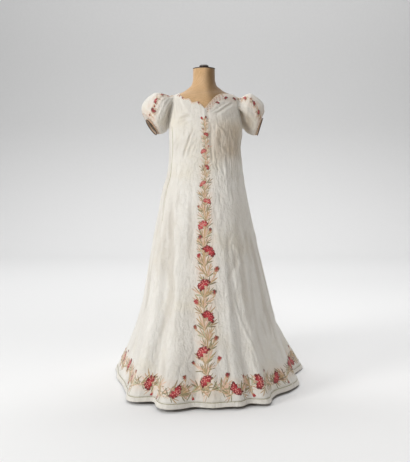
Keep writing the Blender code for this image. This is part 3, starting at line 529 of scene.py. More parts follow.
def strapPlaces(side, behind):
    per = gown["perUnit"]
    edges = throughPoints(gown["backStrap" if behind else "frontStrap"][side], per)
    share = np.arange(4 * per + 1) / (4 * per)
    across = edges[:, 0:1] + (edges[:, 2:3] - edges[:, 0:1]) * share
    away = edges[:, 1:2] + (edges[:, 3:4] - edges[:, 1:2]) * share
    return np.stack(shoulderPlace(across, np.maximum(away, 0), behind), -1)


def clothMesh(name, grids, wall, finish, closed=False):
    # Grids of points share the points along their common edges. Rows go up and the points
    # of a row go towards the wearer's left, so that faces look outwards.
    vertices, numbers, faces, corners = [], {}, [], []
    for grid in grids:
        index = np.empty(grid.shape[:2], int)
        for i, row in enumerate(grid):
            for j, point in enumerate(row):
                key = tuple(np.round(point * 1e6).astype(int))
                index[i, j] = numbers.setdefault(key, len(vertices))
                if index[i, j] == len(vertices):
                    vertices.append(point)
        if closed:              # the last column meets the first, with its own place in the map
            index = np.hstack([index, index[:, :1]])
            grid = np.hstack([grid, grid[:, :1]])
        uv = lengthsAlong(grid)
        for table, whole in ((faces, index), (corners, uv)):
            table.append(np.stack([whole[:-1, :-1], whole[:-1, 1:], whole[1:, 1:],
                                   whole[1:, :-1]], 2).reshape(-1, 4, *whole.shape[2:]))
    mesh = bpy.data.meshes.new(name)
    mesh.from_pydata([tuple(v) for v in vertices], [], np.concatenate(faces).tolist())
    mesh.uv_layers.new(name="cloth").data.foreach_set("uv", np.concatenate(corners).ravel())
    piece = placed(mesh, finish)
    if wall:
        solid = piece.modifiers.new("wall", "SOLIDIFY")
        solid.thickness, solid.offset, solid.use_even_offset = wall, -1, False
        applyModifiers(piece)
    return piece


def placed(mesh, finish):       # the mesh as a smooth object with its finish
    mesh.materials.append(finish)
    mesh.shade_smooth()
    piece = bpy.data.objects.new(mesh.name, mesh)
    bpy.context.scene.collection.objects.link(piece)
    return piece


def lengthsAlong(grid):         # metres along the rows from the middle, and up the columns
    rows = np.cumsum(np.linalg.norm(np.diff(grid, axis=1), axis=-1), axis=1)
    rows = np.hstack([np.zeros((len(grid), 1)), rows])
    rows -= rows[:, [grid.shape[1] // 2]]
    up = np.cumsum(np.linalg.norm(np.diff(grid, axis=0), axis=-1), axis=0)
    up = np.vstack([np.zeros((1, grid.shape[1])), up])
    return np.stack([rows, up], -1)


def selectOnly(piece):
    bpy.ops.object.select_all(action="DESELECT")
    piece.select_set(True)
    bpy.context.view_layer.objects.active = piece


def applyModifiers(piece):
    selectOnly(piece)
    for modifier in list(piece.modifiers):
        bpy.ops.object.modifier_apply(modifier=modifier.name)
    piece.select_set(False)


# finishes

class Value:                    # a socket that can be added, multiplied and so on
    def __init__(self, finish, socket):
        self.finish, self.socket = finish, socket

    def maths(self, operation, *values):
        return self.finish.node("ShaderNodeMath", {"operation": operation}, dict(enumerate(values)))

    def __add__(self, other):
        return self.maths("ADD", self, other)

    def __sub__(self, other):
        return self.maths("SUBTRACT", self, other)

    def __mul__(self, other):
        return self.maths("MULTIPLY", self, other)

    def __rsub__(self, other):
        return self.maths("SUBTRACT", other, self)

    __radd__, __rmul__ = __add__, __mul__

    def within(self, low, high):    # soft step from 0 at low to 1 at high
        return self.finish.node("ShaderNodeMapRange", {"interpolation_type": "SMOOTHSTEP"},
                                {"Value": self, "From Min": low, "From Max": high})


class Finish:
    def __init__(self, name, **sockets):
        self.material = bpy.data.materials.new(name)
        self.material.use_nodes = True
        self.nodes, self.links = self.material.node_tree.nodes, self.material.node_tree.links
        self.nodes.clear()
        self.out = self.nodes.new("ShaderNodeOutputMaterial")
        self.shader = self.node("ShaderNodeBsdfPrincipled", {}, sockets)
        self.links.new(self.shader.socket, self.out.inputs["Surface"])

    def node(self, kind, settings=None, sockets=None, out=0):
        node = self.nodes.new(kind)
        for key, setting in (settings or {}).items():
            setattr(node, key, setting)
        for key, given in (sockets or {}).items():
            socket = node.inputs[key]
            if isinstance(given, Value):
                self.links.new(given.socket, socket)
            else:
                socket.default_value = (*given, 1) if socket.type == "RGBA" else given
        return Value(self, node.outputs[out])

    def set(self, socket, value):
        self.links.new(value.socket, self.shader.socket.node.inputs[socket])

    def overlay(self, other, share):        # a second shader mixed over the first
        both = self.node("ShaderNodeMixShader", {}, {0: share, 1: self.shader, 2: other})
        self.links.new(both.socket, self.out.inputs["Surface"])

    def mix(self, factor, a, b, way="MIX"):
        return self.node("ShaderNodeMix", {"data_type": "RGBA", "blend_type": way},
                         {0: factor, 6: a, 7: b}, 2)

    def noise(self, vector, scale, detail=3, roughness=0.5, stretch=None):
        if stretch:
            vector = self.node("ShaderNodeMapping", {}, {"Vector": vector, "Scale": stretch})
        return self.node("ShaderNodeTexNoise", {}, {"Vector": vector, "Scale": scale,
                         "Detail": detail, "Roughness": roughness}, "Fac")

    def objectPlace(self):
        return self.node("ShaderNodeTexCoord", {}, {}, "Object")

    def clothPlace(self, name="cloth"):
        return self.node("ShaderNodeUVMap", {"uv_map": name}, {})

    def painted(self, name, out="Fac"):     # a number or colour kept at each vertex
        return self.node("ShaderNodeAttribute", {"attribute_name": name}, {}, out)

    def ridges(self, vector, axis, perMetre):       # waves across a direction, from -1 to 1
        wave = self.part(vector, axis) * (perMetre * math.tau)
        return wave.maths("SINE", wave)

    def part(self, vector, axis):
        return self.node("ShaderNodeSeparateXYZ", {}, {0: vector}, "XYZ".index(axis))

    def bump(self, height, strength, distance, under=None):
        sockets = {"Height": height, "Strength": strength, "Distance": distance}
        if under:
            sockets["Normal"] = under
        return self.node("ShaderNodeBump", {}, sockets)


def weave(finish, place, perMetre):     # plain weave, as the height of crossing threads
    return finish.ridges(place, "X", perMetre) * finish.ridges(place, "Y", perMetre)


muslinLooks = {
    "lit": (0.885, 0.862, 0.810),
    "deep": (0.800, 0.765, 0.700),
    "thread": (0.88, 0.865, 0.825),      # thicker threads
    "stained": (0.80, 0.735, 0.585),     # faint yellowed patches
    # painted shade in the fine wrinkles
    "wrinkleShade": (0.62, 0.57, 0.49),
    "formTintAndShade": (0.560, 0.440, 0.310),   # where the form shows through the thin cloth, and painted shade under the bust and by the wearer's right side seam
    "sleeveUnderShade": (0.36, 0.275, 0.185),    # painted shade on a sleeve's under side beside the bodice
    "worked": (0.83, 0.58, 0.43),        # round the embroidery, with its threads behind
    "creaseShade": (0.50, 0.44, 0.36),        # painted shade down in a crease
    "band": (0.86, 0.83, 0.765),
    "glow": (0.86, 0.76, 0.62),          # light that comes through the cloth, and its share
    "glowShare": 0.12,
    "threadsPerMetre": 1100,
}


def muslin(name, formTintAndShade=0.0, lit="lit", under="formTintAndShade", creasing=0.55):
    finish = Finish(name, **{"Roughness": 0.82, "Sheen Weight": 0.25, "Sheen Roughness": 0.45,
                             "Specular IOR Level": 0.25})
    place, cloth = finish.objectPlace(), finish.clothPlace()
    soft = finish.noise(place, 7, 4, 0.55, (1, 1, 0.35))
    slubs = finish.noise(cloth, 60, 3, 0.6, (3.2, 0.25, 1))
    weft = finish.noise(cloth, 60, 3, 0.6, (0.25, 3.2, 1))
    upright = finish.noise(place, 30, 5, 0.62, (1, 1, 0.22)) * 2 - 1
    crossing = finish.noise(place, 24, 4, 0.6, (0.7, 0.7, 0.9)) * 2 - 1
    # fine sharp-edged wrinkles, bumped below and given a painted shade
    creased = (1 - upright.maths("ABSOLUTE", upright) * 3.6).within(0.0, 1.0) * 0.7
    creased = creased + (1 - crossing.maths("ABSOLUTE", crossing) * 4.0).within(0.0, 1.0) * 0.4
    colour = finish.mix(soft.within(0.30, 0.72), muslinLooks["deep"], muslinLooks[lit])
    thread = (slubs + weft) * 0.5
    colour = finish.mix(thread.within(0.35, 0.68) * 0.35, colour, muslinLooks["thread"])
    patches = finish.noise(place, 5, 5, 0.62).within(0.50, 0.74)
    colour = finish.mix(patches * 0.5, colour, muslinLooks["stained"])
    # painted shade in the fine wrinkles
    colour = finish.mix(creased * 0.14, colour, muslinLooks["wrinkleShade"])
    # the form showing through, with painted shade under the bust and by the side seam, and on a
    # sleeve painted shade beside the bodice
    if formTintAndShade:
        patchy = finish.noise(place, 16, 4, 0.6, (1, 1, 0.5)).within(0.25, 0.75) * 0.6 + 0.4
        tintAndShade = finish.painted("near") * patchy * formTintAndShade
        colour = finish.mix(tintAndShade, colour, muslinLooks[under])
        # painted shade down in the creases
        colour = finish.mix(finish.painted("creaseShade") * 0.36, colour, muslinLooks["creaseShade"])
        broken = finish.noise(place, 55, 3, 0.6).within(0.34, 0.66)
        worked = finish.painted("worked") * (0.18 + broken * 0.42)
        colour = finish.mix(worked, colour, muslinLooks["worked"])
    finish.set("Base Color", colour)
    finish.set("Roughness", 0.76 + thread * 0.14)
    fine = finish.bump(weave(finish, cloth, muslinLooks["threadsPerMetre"]), 0.25, 0.0002)
    rumpled = finish.bump(finish.noise(place, 20, 4, 0.6, (1, 1, 0.4)), 0.45, 0.006, fine)
    rumpled = finish.bump(creased, creasing, 0.0045, rumpled)
    finish.set("Normal", finish.bump(thread, 0.3, 0.0006, rumpled))
    through = finish.node("ShaderNodeBsdfTranslucent", {}, {"Color": muslinLooks["glow"]})
    finish.overlay(through, muslinLooks["glowShare"])
    return finish.material


linenLooks = {
    "dark": (0.47, 0.285, 0.13),
    "light": (0.69, 0.45, 0.245),
    "worn": (0.74, 0.52, 0.32),
    "shadedSide": (0.22, 0.125, 0.048),      # painted shade on the wearer's left half, from this far across
    "shadedSideFrom": (0.002, 0.036),
    "threadsPerMetre": 700,
}


def linen():
    finish = Finish("formLinen", **{"Sheen Weight": 0.3, "Specular IOR Level": 0.3})
    place, cloth = finish.objectPlace(), finish.clothPlace()
    warp = finish.noise(cloth, 120, 3, 0.65, (3, 0.3, 1))
    weft = finish.noise(cloth, 120, 3, 0.65, (0.3, 3, 1))
    threads = (warp + weft) * 0.5
    worn = finish.noise(place, 9, 4, 0.6)
    colour = finish.mix(threads.within(0.35, 0.65), linenLooks["dark"], linenLooks["light"])
    colour = finish.mix(worn.within(0.42, 0.72) * 0.4, colour, linenLooks["worn"])
    # painted shade on the form's side away from the light, its edge wavering with the wear
    across = finish.part(place, "X") + (worn - 0.5) * 0.05
    shadedSide = across.within(*linenLooks["shadedSideFrom"])
    colour = finish.mix(shadedSide * 0.9, colour, linenLooks["shadedSide"])
    finish.set("Base Color", colour)
    finish.set("Roughness", 0.82 + threads * 0.12)
    fine = finish.bump(weave(finish, cloth, linenLooks["threadsPerMetre"]), 0.35, 0.0004)
    finish.set("Normal", finish.bump(threads, 0.4, 0.0008, fine))
    return finish.material


standLooks = {
    "darkWood": (0.020, 0.012, 0.008),
    "lightWood": (0.055, 0.032, 0.020),
    "woodRoughness": 0.38,
    "poreShade": 0.45,
    "iron": (0.022, 0.022, 0.024),
    "wornIron": (0.060, 0.056, 0.052),
}


def turnedWood():
    finish = Finish("darkWood", **{"Specular IOR Level": 0.45, "Coat Roughness": 0.25})
    place = finish.objectPlace()
    grain = finish.noise(place, 9, 6, 0.6, (8, 8, 1))
    pores = finish.noise(place, 160, 3, 0.6, (1.5, 1.5, 0.12))
    worn = finish.noise(place, 14, 4, 0.6)
    dark = standLooks["darkWood"]
    darkest = tuple(c * standLooks["poreShade"] for c in dark)
    colour = finish.mix(grain.within(0.35, 0.66), dark, standLooks["lightWood"])
    finish.set("Base Color", finish.mix(pores.within(0.55, 0.72) * 0.6, colour, darkest))
    finish.set("Roughness", standLooks["woodRoughness"] + worn * 0.2 + pores * 0.08)
    finish.set("Coat Weight", 0.35 - worn.within(0.5, 0.8) * 0.2)
    finish.set("Normal", finish.bump(pores, 0.35, 0.0006))
    return finish.material


def castIron():
    finish = Finish("castIron", **{"Specular IOR Level": 0.5})
    place = finish.objectPlace()
    sand = finish.noise(place, 260, 4, 0.6)
    worn = finish.noise(place, 18, 5, 0.65)
    finish.set("Base Color", finish.mix(worn.within(0.4, 0.75), standLooks["iron"],
                                        standLooks["wornIron"]))
    finish.set("Metallic", worn.within(0.55, 0.8) * 0.7 + 0.1)
    finish.set("Roughness", 0.42 + sand * 0.25)
    finish.set("Normal", finish.bump(sand, 0.3, 0.0008))
    return finish.material


# the gown's panels

panelLooks = {
    "lowerRows": 100,           # rows in the lower part of a panel's length
    "lowerShare": 0.72,
    "upperRows": 110,
}
lowerShare = panelLooks["lowerShare"]
rowShares = np.append(np.linspace(0, lowerShare, panelLooks["lowerRows"], endpoint=False),
                      np.linspace(lowerShare, 1, panelLooks["upperRows"] + 1))
muslinBody = muslin("muslinBody", 0.85)
muslinBand = muslin("muslinBand", lit="band")
muslinSleeve = muslin("muslinSleeve", 1.1, under="sleeveUnderShade", creasing=0.7)

frontTops = np.vstack([topLine(-1, False), topLine(1, False)[-2::-1]])
frontShares = np.linspace(-1, 1, len(frontTops))
frontPlaces = panelPlaces(frontShares, frontTops, False, rowShares)
backPlaces = {}
for side in (-1, 1):
    tops = topLine(side, True)
    shares = np.copysign(1 - np.arange(len(tops)) / (len(tops) - 1), side)
    places = panelPlaces(shares, tops, True, rowShares)
    backPlaces[side] = places if side > 0 else places[:, ::-1]
straps = {(side, behind): strapPlaces(side, behind) for side in (-1, 1) for behind in (False, True)}


def trimmedEdges(grid, left=True, right=True, top=False):   # half a seam's gap inside the seam
    gap = gown["seamGap"] / 2
    if left:
        grid[:, 0] += unit(grid[:, 1] - grid[:, 0]) * gap
    if right:
        grid[:, -1] += unit(grid[:, -2] - grid[:, -1]) * gap
    if top:
        grid[-1] += unit(grid[-2] - grid[-1]) * gap
    return grid


def gownGrids(places, strapSets):
    grids = [trimmedEdges(clothPoint(places[..., 0], places[..., 1]))]
    for strap in strapSets:
        grids.append(trimmedEdges(clothPoint(strap[..., 0], strap[..., 1]), False, False, True))
    return grids


def mark(piece, name, values):  # one number at each vertex, for a finish to read
    layer = piece.data.attributes.new(name, "FLOAT", "POINT")
    layer.data.foreach_set("value", np.asarray(values).astype(np.float32))


tints = {           # where the cloth is shaded or coloured, in metres across and up
    # a pair is the middle and the half size, and a rise is heights with shares
    "formTintAndShade": {"most": 0.09, "room": 0.009, "rise": [(1.0, 0), (1.12, 1)]},
    # painted shade under the bust on the wearer's left, the side away from the light, with the form
    # showing through
    "bust": {"across": (0.098, 0.072), "height": (1.088, 0.088)},
    # painted shade in a strip by the wearer's right side seam, where the cloth turns away
    "sideSeam": {"most": 0.50, "across": (-0.167, 0.009), "rise": [(0.8, 0), (1.05, 1)]},
    "deepCrease": 0.0028,       # a crease this deep has its full shade
    # heights, with the half width and the strength of the centre band's tint
    "bandWidths": [(0, 0.043), (0.6, 0.041), (0.8, 0.031), (1.0, 0.020), (1.17, 0.017),
                   (1.18, 0.001)],
    "bandStrengths": [(0.05, 0.25), (0.13, 0.5), (0.24, 1.0), (0.86, 1.0), (1.0, 0.5)],
    "bandMiddle": 0.006,
    "bandTop": 1.18,
    "neckline": {"most": 0.36, "beyond": 0.026, "below": (0.016, 0.024)},
    "hem": {"most": 0.62, "height": (0.086, 0.030)},
}


def spot(values, middle, half, power=4):        # 1 in the middle, fading out past its half size
    return np.exp(-((values - middle) / half)**power)


def fromRows(place, rows):      # read between the rows of a short table
    return np.interp(place, *np.transpose(rows))


def nearForm(piece):            # how closely the cloth lies on the form, with painted shade under the bust, by the wearer's right side seam and in the creases, and where it is worked
    mesh = piece.data
    places = np.empty(len(mesh.vertices) * 3)
    mesh.vertices.foreach_get("co", places)
    places = places.reshape(-1, 3)
    x, y, z = places.T
    over, bust, seam = tints["formTintAndShade"], tints["bust"], tints["sideSeam"]
    near = over["most"] * spot(np.maximum(roomOver(places), 0), 0, over["room"], 2) \
        * fromRows(z, over["rise"])
    # painted shade under the bust on the wearer's left, with the form showing through
    near += np.where(y < 0, spot(x, *bust["across"]) * spot(z, *bust["height"]), 0)
    # painted shade in a strip by the wearer's right side seam
    near += seam["most"] * spot(x, *seam["across"], 2) * fromRows(z, seam["rise"])
    mark(piece, "near", near)
    angle = edgeAngle(x, z, y >= sectionAt(z)[:, 1])
    # painted shade down in the creases, by their depth
    mark(piece, "creaseShade", np.clip(-creaseOffset(angle, z) / tints["deepCrease"], 0, 1))
    neck, hem = tints["neckline"], tints["hem"]
    band = fromRows(z, tints["bandStrengths"]) \
        * np.exp(-((x - tints["bandMiddle"]) / fromRows(z, tints["bandWidths"]))**2 * 1.1)
    worked = np.where((y < 0) & (z < tints["bandTop"]), band, 0)
    below = fromRows(x, gown["neckline"][1][::-1]) - z
    worked += np.where((y < 0) & (x > neck["beyond"]), neck["most"] * spot(below, *neck["below"]), 0)
    mark(piece, "worked", np.clip(worked + hem["most"] * spot(z, *hem["height"]), 0, 1))


def hangs(piece, node, restsOn):    # a sheet on its node
    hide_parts(node)
    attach(piece, "root")


frontStraps = [straps[-1, False], straps[1, False][:, ::-1]]
gownFront = clothMesh("gownFront", gownGrids(frontPlaces, frontStraps), gown["wall"], muslinBody)
gownBack = {}
for side, name in ((1, "gownBackLeft"), (-1, "gownBackRight")):
    strap = straps[side, True] if side > 0 else straps[side, True][:, ::-1]
    gownBack[side] = clothMesh(name, gownGrids(backPlaces[side], [strap]), gown["wall"], muslinBody)
for piece in (gownFront, gownBack[1], gownBack[-1]):
    nearForm(piece)
print("panels cut and hung")


# hem bands

hemBandLooks = {
    # height above the hem, and how far it stands proud of the skirt
    "profile": [(0, 0.0003), (0.0025, 0.0010), (0.006, 0.0008), (0.010, 0.0006),
                (0.014, 0.0006), (0.0165, 0.0004), (gown["bandDepth"], 0)],
    "cutDepth": 0.019,
}


def hemBand(name, angles, node):
    rise, proud = np.array(hemBandLooks["profile"]).T
    angle, lift = np.broadcast_arrays(angles[None, :], rise[:, None])
    height = hemHeight(angle) + lift
    grid = clothPoint(angle, height) + outward(foldedPoint, angle, height) * proud[:, None, None]
    piece = clothMesh(name, [trimmedEdges(grid)], gown["wall"], muslinBand)
    hangs(piece, "hem_band_" + node, ["gown_" + node])
    return piece


hemBands = [hemBand("hemBandFront", frontPlaces[0, :, 0], "front"),
            hemBand("hemBandBackLeft", backPlaces[1][0, :, 0], "back_left"),
            hemBand("hemBandBackRight", backPlaces[-1][0, :, 0], "back_right")]
print("hem bands sewn on")


# sleeves and cuffs

sleeves = {
    -1: {"name": "Right", "cuff": (-0.236, -0.006, 1.150), "tilt": 36, "turn": 12,
         "puff": (0.066, 0.044, 0.010), "flat": (0.56, 0.24), "area": 0.076,
         # creases: turn at the armhole and at the cuff, share of the way from and to, how
         # far it stands out, half width in degrees of turn
         "pleats": [(158, 140, 0, 0.9, 0.0040, 6), (153, 128, 0, 0.75, -0.0024, 5),
                    (148, 116, 0, 0.95, 0.0036, 6), (143, 105, 0, 0.7, -0.0026, 5),
                    (139, 95, 0, 0.85, 0.0040, 6), (134, 85, 0, 0.8, -0.0020, 5),
                    (129, 75, 0, 0.9, 0.0030, 6), (123, 65, 0, 0.6, -0.0022, 5.5),
                    (115, 54, 0, 0.8, 0.0034, 7), (104, 42, 0, 0.6, -0.0018, 6.5),
                    (94, 34, 0.1, 0.8, 0.0026, 8), (168, 162, 0, 0.8, -0.0028, 5.5),
                    (178, 180, 0, 0.9, 0.0065, 5.5), (189, 196, 0, 0.8, -0.0040, 5),
                    (199, 212, 0, 0.9, 0.0065, 5.5), (211, 228, 0, 0.75, -0.0036, 5.5),
                    (222, 244, 0, 0.9, 0.0055, 6), (238, 262, 0, 0.7, -0.0030, 6.5),
                    (256, 282, 0.1, 0.9, 0.0040, 7.5), (292, 306, 0.2, 0.9, -0.0020, 9),
                    (320, 322, 0.3, 0.9, 0.0016, 9)]},
    1: {"name": "Left", "cuff": (0.252, 0.000, 1.153), "tilt": 17, "turn": 3,
        "puff": (0.057, 0.044, 0.010), "flat": (0.55, 0.21), "area": 0.071,
        "pleats": [(104, 96, 0.1, 0.9, 0.0022, 9), (126, 120, 0.0, 0.6, -0.0022, 7),
                   (140, 138, 0.0, 0.8, 0.0026, 8), (156, 158, 0.0, 0.5, -0.0026, 6),
                   (168, 172, 0.0, 0.8, 0.0028, 7), (184, 190, 0.0, 0.55, -0.0026, 6),
                   (198, 208, 0.0, 0.85, 0.0030, 7), (214, 226, 0.0, 0.6, -0.0026, 7),
                   (232, 246, 0.0, 0.9, 0.0026, 8), (252, 262, 0.1, 0.8, -0.0022, 8),
                   (84, 74, 0.1, 0.7, -0.0020, 9), (62, 52, 0.1, 0.9, 0.0020, 9),
                   (300, 300, 0.3, 0.9, 0.0016, 9)]},
}
puff = {
    "rows": [(0, 0, 0), (0.06, 0.03, 0), (0.15, 0.15, 0), (0.28, 0.62, 0.05), (0.44, 0.95, 0.25),
             (0.62, 1, 0.6), (0.80, 0.87, 0.95), (0.93, 0.48, 0.75), (1, 0, 0)],
    "overhang": 0.020,
    "bulgePower": 1.5,          # how the bulge grows from under the arm to the top
    "gathers": 23,
    "gatherDepth": 0.0016,
    "drift": (1.4, 3, 40),      # the gathers are uneven: by how much, how often, from where
    "spentAt": 0.85,            # share of their depth that is gone halfway along
    "seamFade": 12,             # how soon gathers and pleats start beside a seam
    "cuffHalfHeight": 0.039,
    "cuffHalfWidth": 0.044,
    "cuffDepth": 0.010,
    "columns": 192,
    "alongs": np.concatenate([np.linspace(0, 0.12, 9)[:-1], np.linspace(0.12, 0.86, 42)[:-1],
                              np.linspace(0.86, 1, 12)]),
    # Painted shade on the under side of the sleeve beside the bodice: middle and half size in
    # degrees of turn, the shares of the way from and to where it fades, and its strength on each
    # sleeve.
    "underShade": {"turn": (50, 52), "along": [(0.45, 1), (0.95, 0)], "most": {-1: 0.45, 1: 1}},
    # Where the threads of the vine and of the cuff's sprigs tint the cloth.
    "vine": {"turns": [(0, 150), (0.3, 142), (0.6, 128), (0.9, 111)], "half": 24},
    "sprigs": (0.94, 0.09),
    "tint": 0.6,
}
puffAt = curveThrough(puff["rows"])


def armholeRing(side):          # from the armpit up the front and down the back, in 192 steps
    per = gown["perUnit"]
    front = frontPlaces[-1] if side < 0 else frontPlaces[-1][::-1]
    back = backPlaces[side][-1] if side > 0 else backPlaces[side][-1][::-1]
    line = np.vstack([front[:4 * per],
                      straps[side, False][:, 0], straps[side, True][-2::-1, 0],
                      back[4 * per - 1:0:-1]])
    normals = outward(foldedPoint, line[:, 0], line[:, 1])
    points = clothPoint(line[:, 0], line[:, 1])
    points = np.stack([points, (points + np.roll(points, -1, 0)) / 2], 1).reshape(-1, 3)
    normals = unit(np.stack([normals, normals + np.roll(normals, -1, 0)], 1).reshape(-1, 3))
    inward = points.mean(0) - points
    inward = unit(inward - normals * (inward * normals).sum(-1, keepdims=True))
    return points + inward * gown["seamGap"]


def cuffAxes(side):
    tilt, turn = math.radians(sleeves[side]["tilt"]), math.radians(sleeves[side]["turn"])
    out = np.array([side * math.cos(tilt) * math.cos(turn), -math.sin(turn),
                    -math.sin(tilt) * math.cos(turn)])
    up = np.array([side * math.sin(tilt), 0, math.cos(tilt)])
    forward = np.cross(up, out) * -side
    return np.array(sleeves[side]["cuff"]), out, up, forward / np.linalg.norm(forward)


rings = {side: armholeRing(side) for side in (-1, 1)}


def sleevePoint(side, turn, along):     # turn in degrees, 0 under the arm and 90 in front
    looks, (centre, out, up, forward) = sleeves[side], cuffAxes(side)
    turn, along = asArrays(turn, along)
    ring, place = rings[side], (turn / 360 % 1) * len(rings[side])
    first, share = place.astype(int) % len(ring), (place % 1)[..., None]
    start = ring[first] * (1 - share) + ring[(first + 1) % len(ring)] * share
    cosine, sine = np.cos(np.radians(turn)), np.sin(np.radians(turn))
    spread = forward * sine[..., None] - up * cosine[..., None]
    stop = centre - out * (puff["cuffDepth"] + gown["seamGap"]) \
        + forward * (puff["cuffHalfWidth"] * sine)[..., None] \
        - up * (puff["cuffHalfHeight"] * cosine)[..., None]
    topShare = (1 - cosine) / 2
    top, sideways, under = looks["puff"]
    bulge = under + (top - under) * topShare**puff["bulgePower"] \
        + (sideways - (top + under) / 2) * sine**2
    swell, hang = np.moveaxis(puffAt(along), -1, 0)
    seam = np.clip(np.minimum(along, 1 - along) * puff["seamFade"], 0, 1)
    drift, times, since = puff["drift"]
    wave = np.radians(turn) * puff["gathers"] + drift * np.sin(np.radians(turn * times + since))
    rumple = np.cos(wave) * puff["gatherDepth"] * seam * (0.3 + 0.7 * topShare)
    rumple *= 1 - puff["spentAt"] * np.clip(np.sin(np.pi * along), 0, 1)**0.7
    for atArm, atCuff, since, until, depth, halfWidth in looks["pleats"]:
        away = (turn - atArm - (atCuff - atArm) * along + 180) % 360 - 180
        t = np.clip((along - since) / (until - since), 0, 1)
        rumple = rumple + depth * seam * np.minimum(t * 6 + (since == 0), 1) \
            * np.cos(np.pi / 2 * t**1.5) * np.exp(-(away / halfWidth)**2)
    puffed = spread * (bulge * swell + rumple)[..., None]
    fallen = out * (puff["overhang"] * topShare * hang)[..., None]
    return start + (stop - start) * along[..., None] + puffed + fallen


def sleeve(side):
    turns = np.arange(puff["columns"]) * 360 / puff["columns"]
    if side > 0:                # columns go towards the wearer's left
        turns = turns[::-1]
    turn, along = np.broadcast_arrays(turns[None, :], puff["alongs"][:, None])
    piece = clothMesh("sleeve" + sleeves[side]["name"], [sleevePoint(side, turn, along)],
                      gown["wall"], muslinSleeve, closed=True)
    underShade, vine = puff["underShade"], puff["vine"]
    # painted shade on the under side beside the bodice
    shade = spot(turn, *underShade["turn"]) * fromRows(along, underShade["along"]) * underShade["most"][side]
    mark(piece, "near", np.tile(shade.ravel(), 2))
    worked = spot(turn, fromRows(along, vine["turns"]), vine["half"]) + spot(along, *puff["sprigs"])
    mark(piece, "worked", np.tile(np.clip(worked * puff["tint"], 0, 1).ravel(), 2))
    return piece


sleevePiece = {side: sleeve(side) for side in sleeves}

cuffLooks = {
    # distance from the cuff's open edge, and how far it stands proud of the band
    "profile": [(0.0100, 0), (0.0088, 0.0007), (0.0060, 0.0008), (0.0034, 0.0007),
                (0.0028, 0.0011), (0.0020, 0.0016), (0.0010, 0.0016), (0, 0.0009)],
    "worked": ((0.42, 0.31, 0.19), (0.74, 0.50, 0.36)),
    "binding": (0.075, 0.042, 0.026),
    "bindingFrom": (0.0056, 0.0062),
    "ridgesPerMetre": 1500,
    "columns": 160,
    "flat": (0.262, 0.012),
}


def cuffFinish():
    finish = Finish("muslinCuff", **{"Roughness": 0.8, "Sheen Weight": 0.2})
    cloth = finish.clothPlace()
    bound = finish.part(cloth, "Y").within(*cuffLooks["bindingFrom"])
    slubs = finish.noise(cloth, 60, 3, 0.6, (3, 0.3, 1))
    worked = finish.mix(slubs.within(0.3, 0.7), *cuffLooks["worked"])
    finish.set("Base Color", finish.mix(bound, worked, cuffLooks["binding"]))
    twill = finish.ridges(cloth, "X", cuffLooks["ridgesPerMetre"])
    finish.set("Roughness", 0.8 - bound * 0.25)
    finish.set("Normal", finish.bump(twill, 0.3, 0.0003))
    return finish.material


muslinCuff = cuffFinish()
for side, looks in sleeves.items():
    centre, out, up, forward = cuffAxes(side)
    turns = np.radians(np.arange(cuffLooks["columns"]) * 360 / cuffLooks["columns"] * -side)
    grid = []
    for back, proud in cuffLooks["profile"]:
        around = -up * np.cos(turns)[:, None] * (puff["cuffHalfHeight"] + proud) \
            + forward * np.sin(turns)[:, None] * (puff["cuffHalfWidth"] + proud)
        grid.append(centre - out * back + around)
    grid, node = np.array(grid), looks["name"].lower()
    cuff = clothMesh("cuff" + looks["name"], [grid], gown["wall"], muslinCuff, closed=True)
    hangs(cuff, "cuff_" + node, ["sleeve_" + node])
print("sleeves set in")


# the dress form and its stand

def dressFormPiece():
    bottom, top, (low, high) = dressForm["bottom"], dressForm["neckTop"], dressForm["fine"]
    below, between, above = dressForm["rows"]
    heights = np.concatenate([np.linspace(bottom, low, below)[:-1],
                              np.linspace(low, high, between)[:-1], np.linspace(high, top, above)])
    angles = np.arange(dressForm["columns"]) * 360 / dressForm["columns"]
    x, y = ovalPoint(formAt(heights)[:, None, :], angles)[:2]
    grid = np.stack(np.broadcast_arrays(x, y, heights[:, None]), -1)
    under = [grid[0] * (share, share, 0) + (0, 0, bottom - dressForm["underside"] * drop)
             for share, drop in dressForm["under"]]
    over = [grid[-1] * (share, share, 0) + (0, 0, top) for share in dressForm["over"]]
    piece = clothMesh("dressFormBody", [np.array(under + list(grid) + over)], 0,
                      linen(), closed=True)
    selectOnly(piece)
    bpy.ops.object.mode_set(mode="EDIT")
    bpy.ops.mesh.select_all(action="SELECT")
    bpy.ops.mesh.fill_holes(sides=0)
    bpy.ops.mesh.select_all(action="DESELECT")
    bpy.ops.object.mode_set(mode="OBJECT")
    piece.select_set(False)
    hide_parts("form_torso")
    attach(piece, "root")


dressFormPiece()
darkWood = turnedWood()
for node, finish in (("form_neck_cap", darkWood), ("form_neck_knob", darkWood),
                     ("stand_pole", darkWood), ("stand_base", castIron())):
    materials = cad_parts[node].data.materials
    materials.clear()
    materials.append(finish)
print("dress form on its stand")


# embroidery

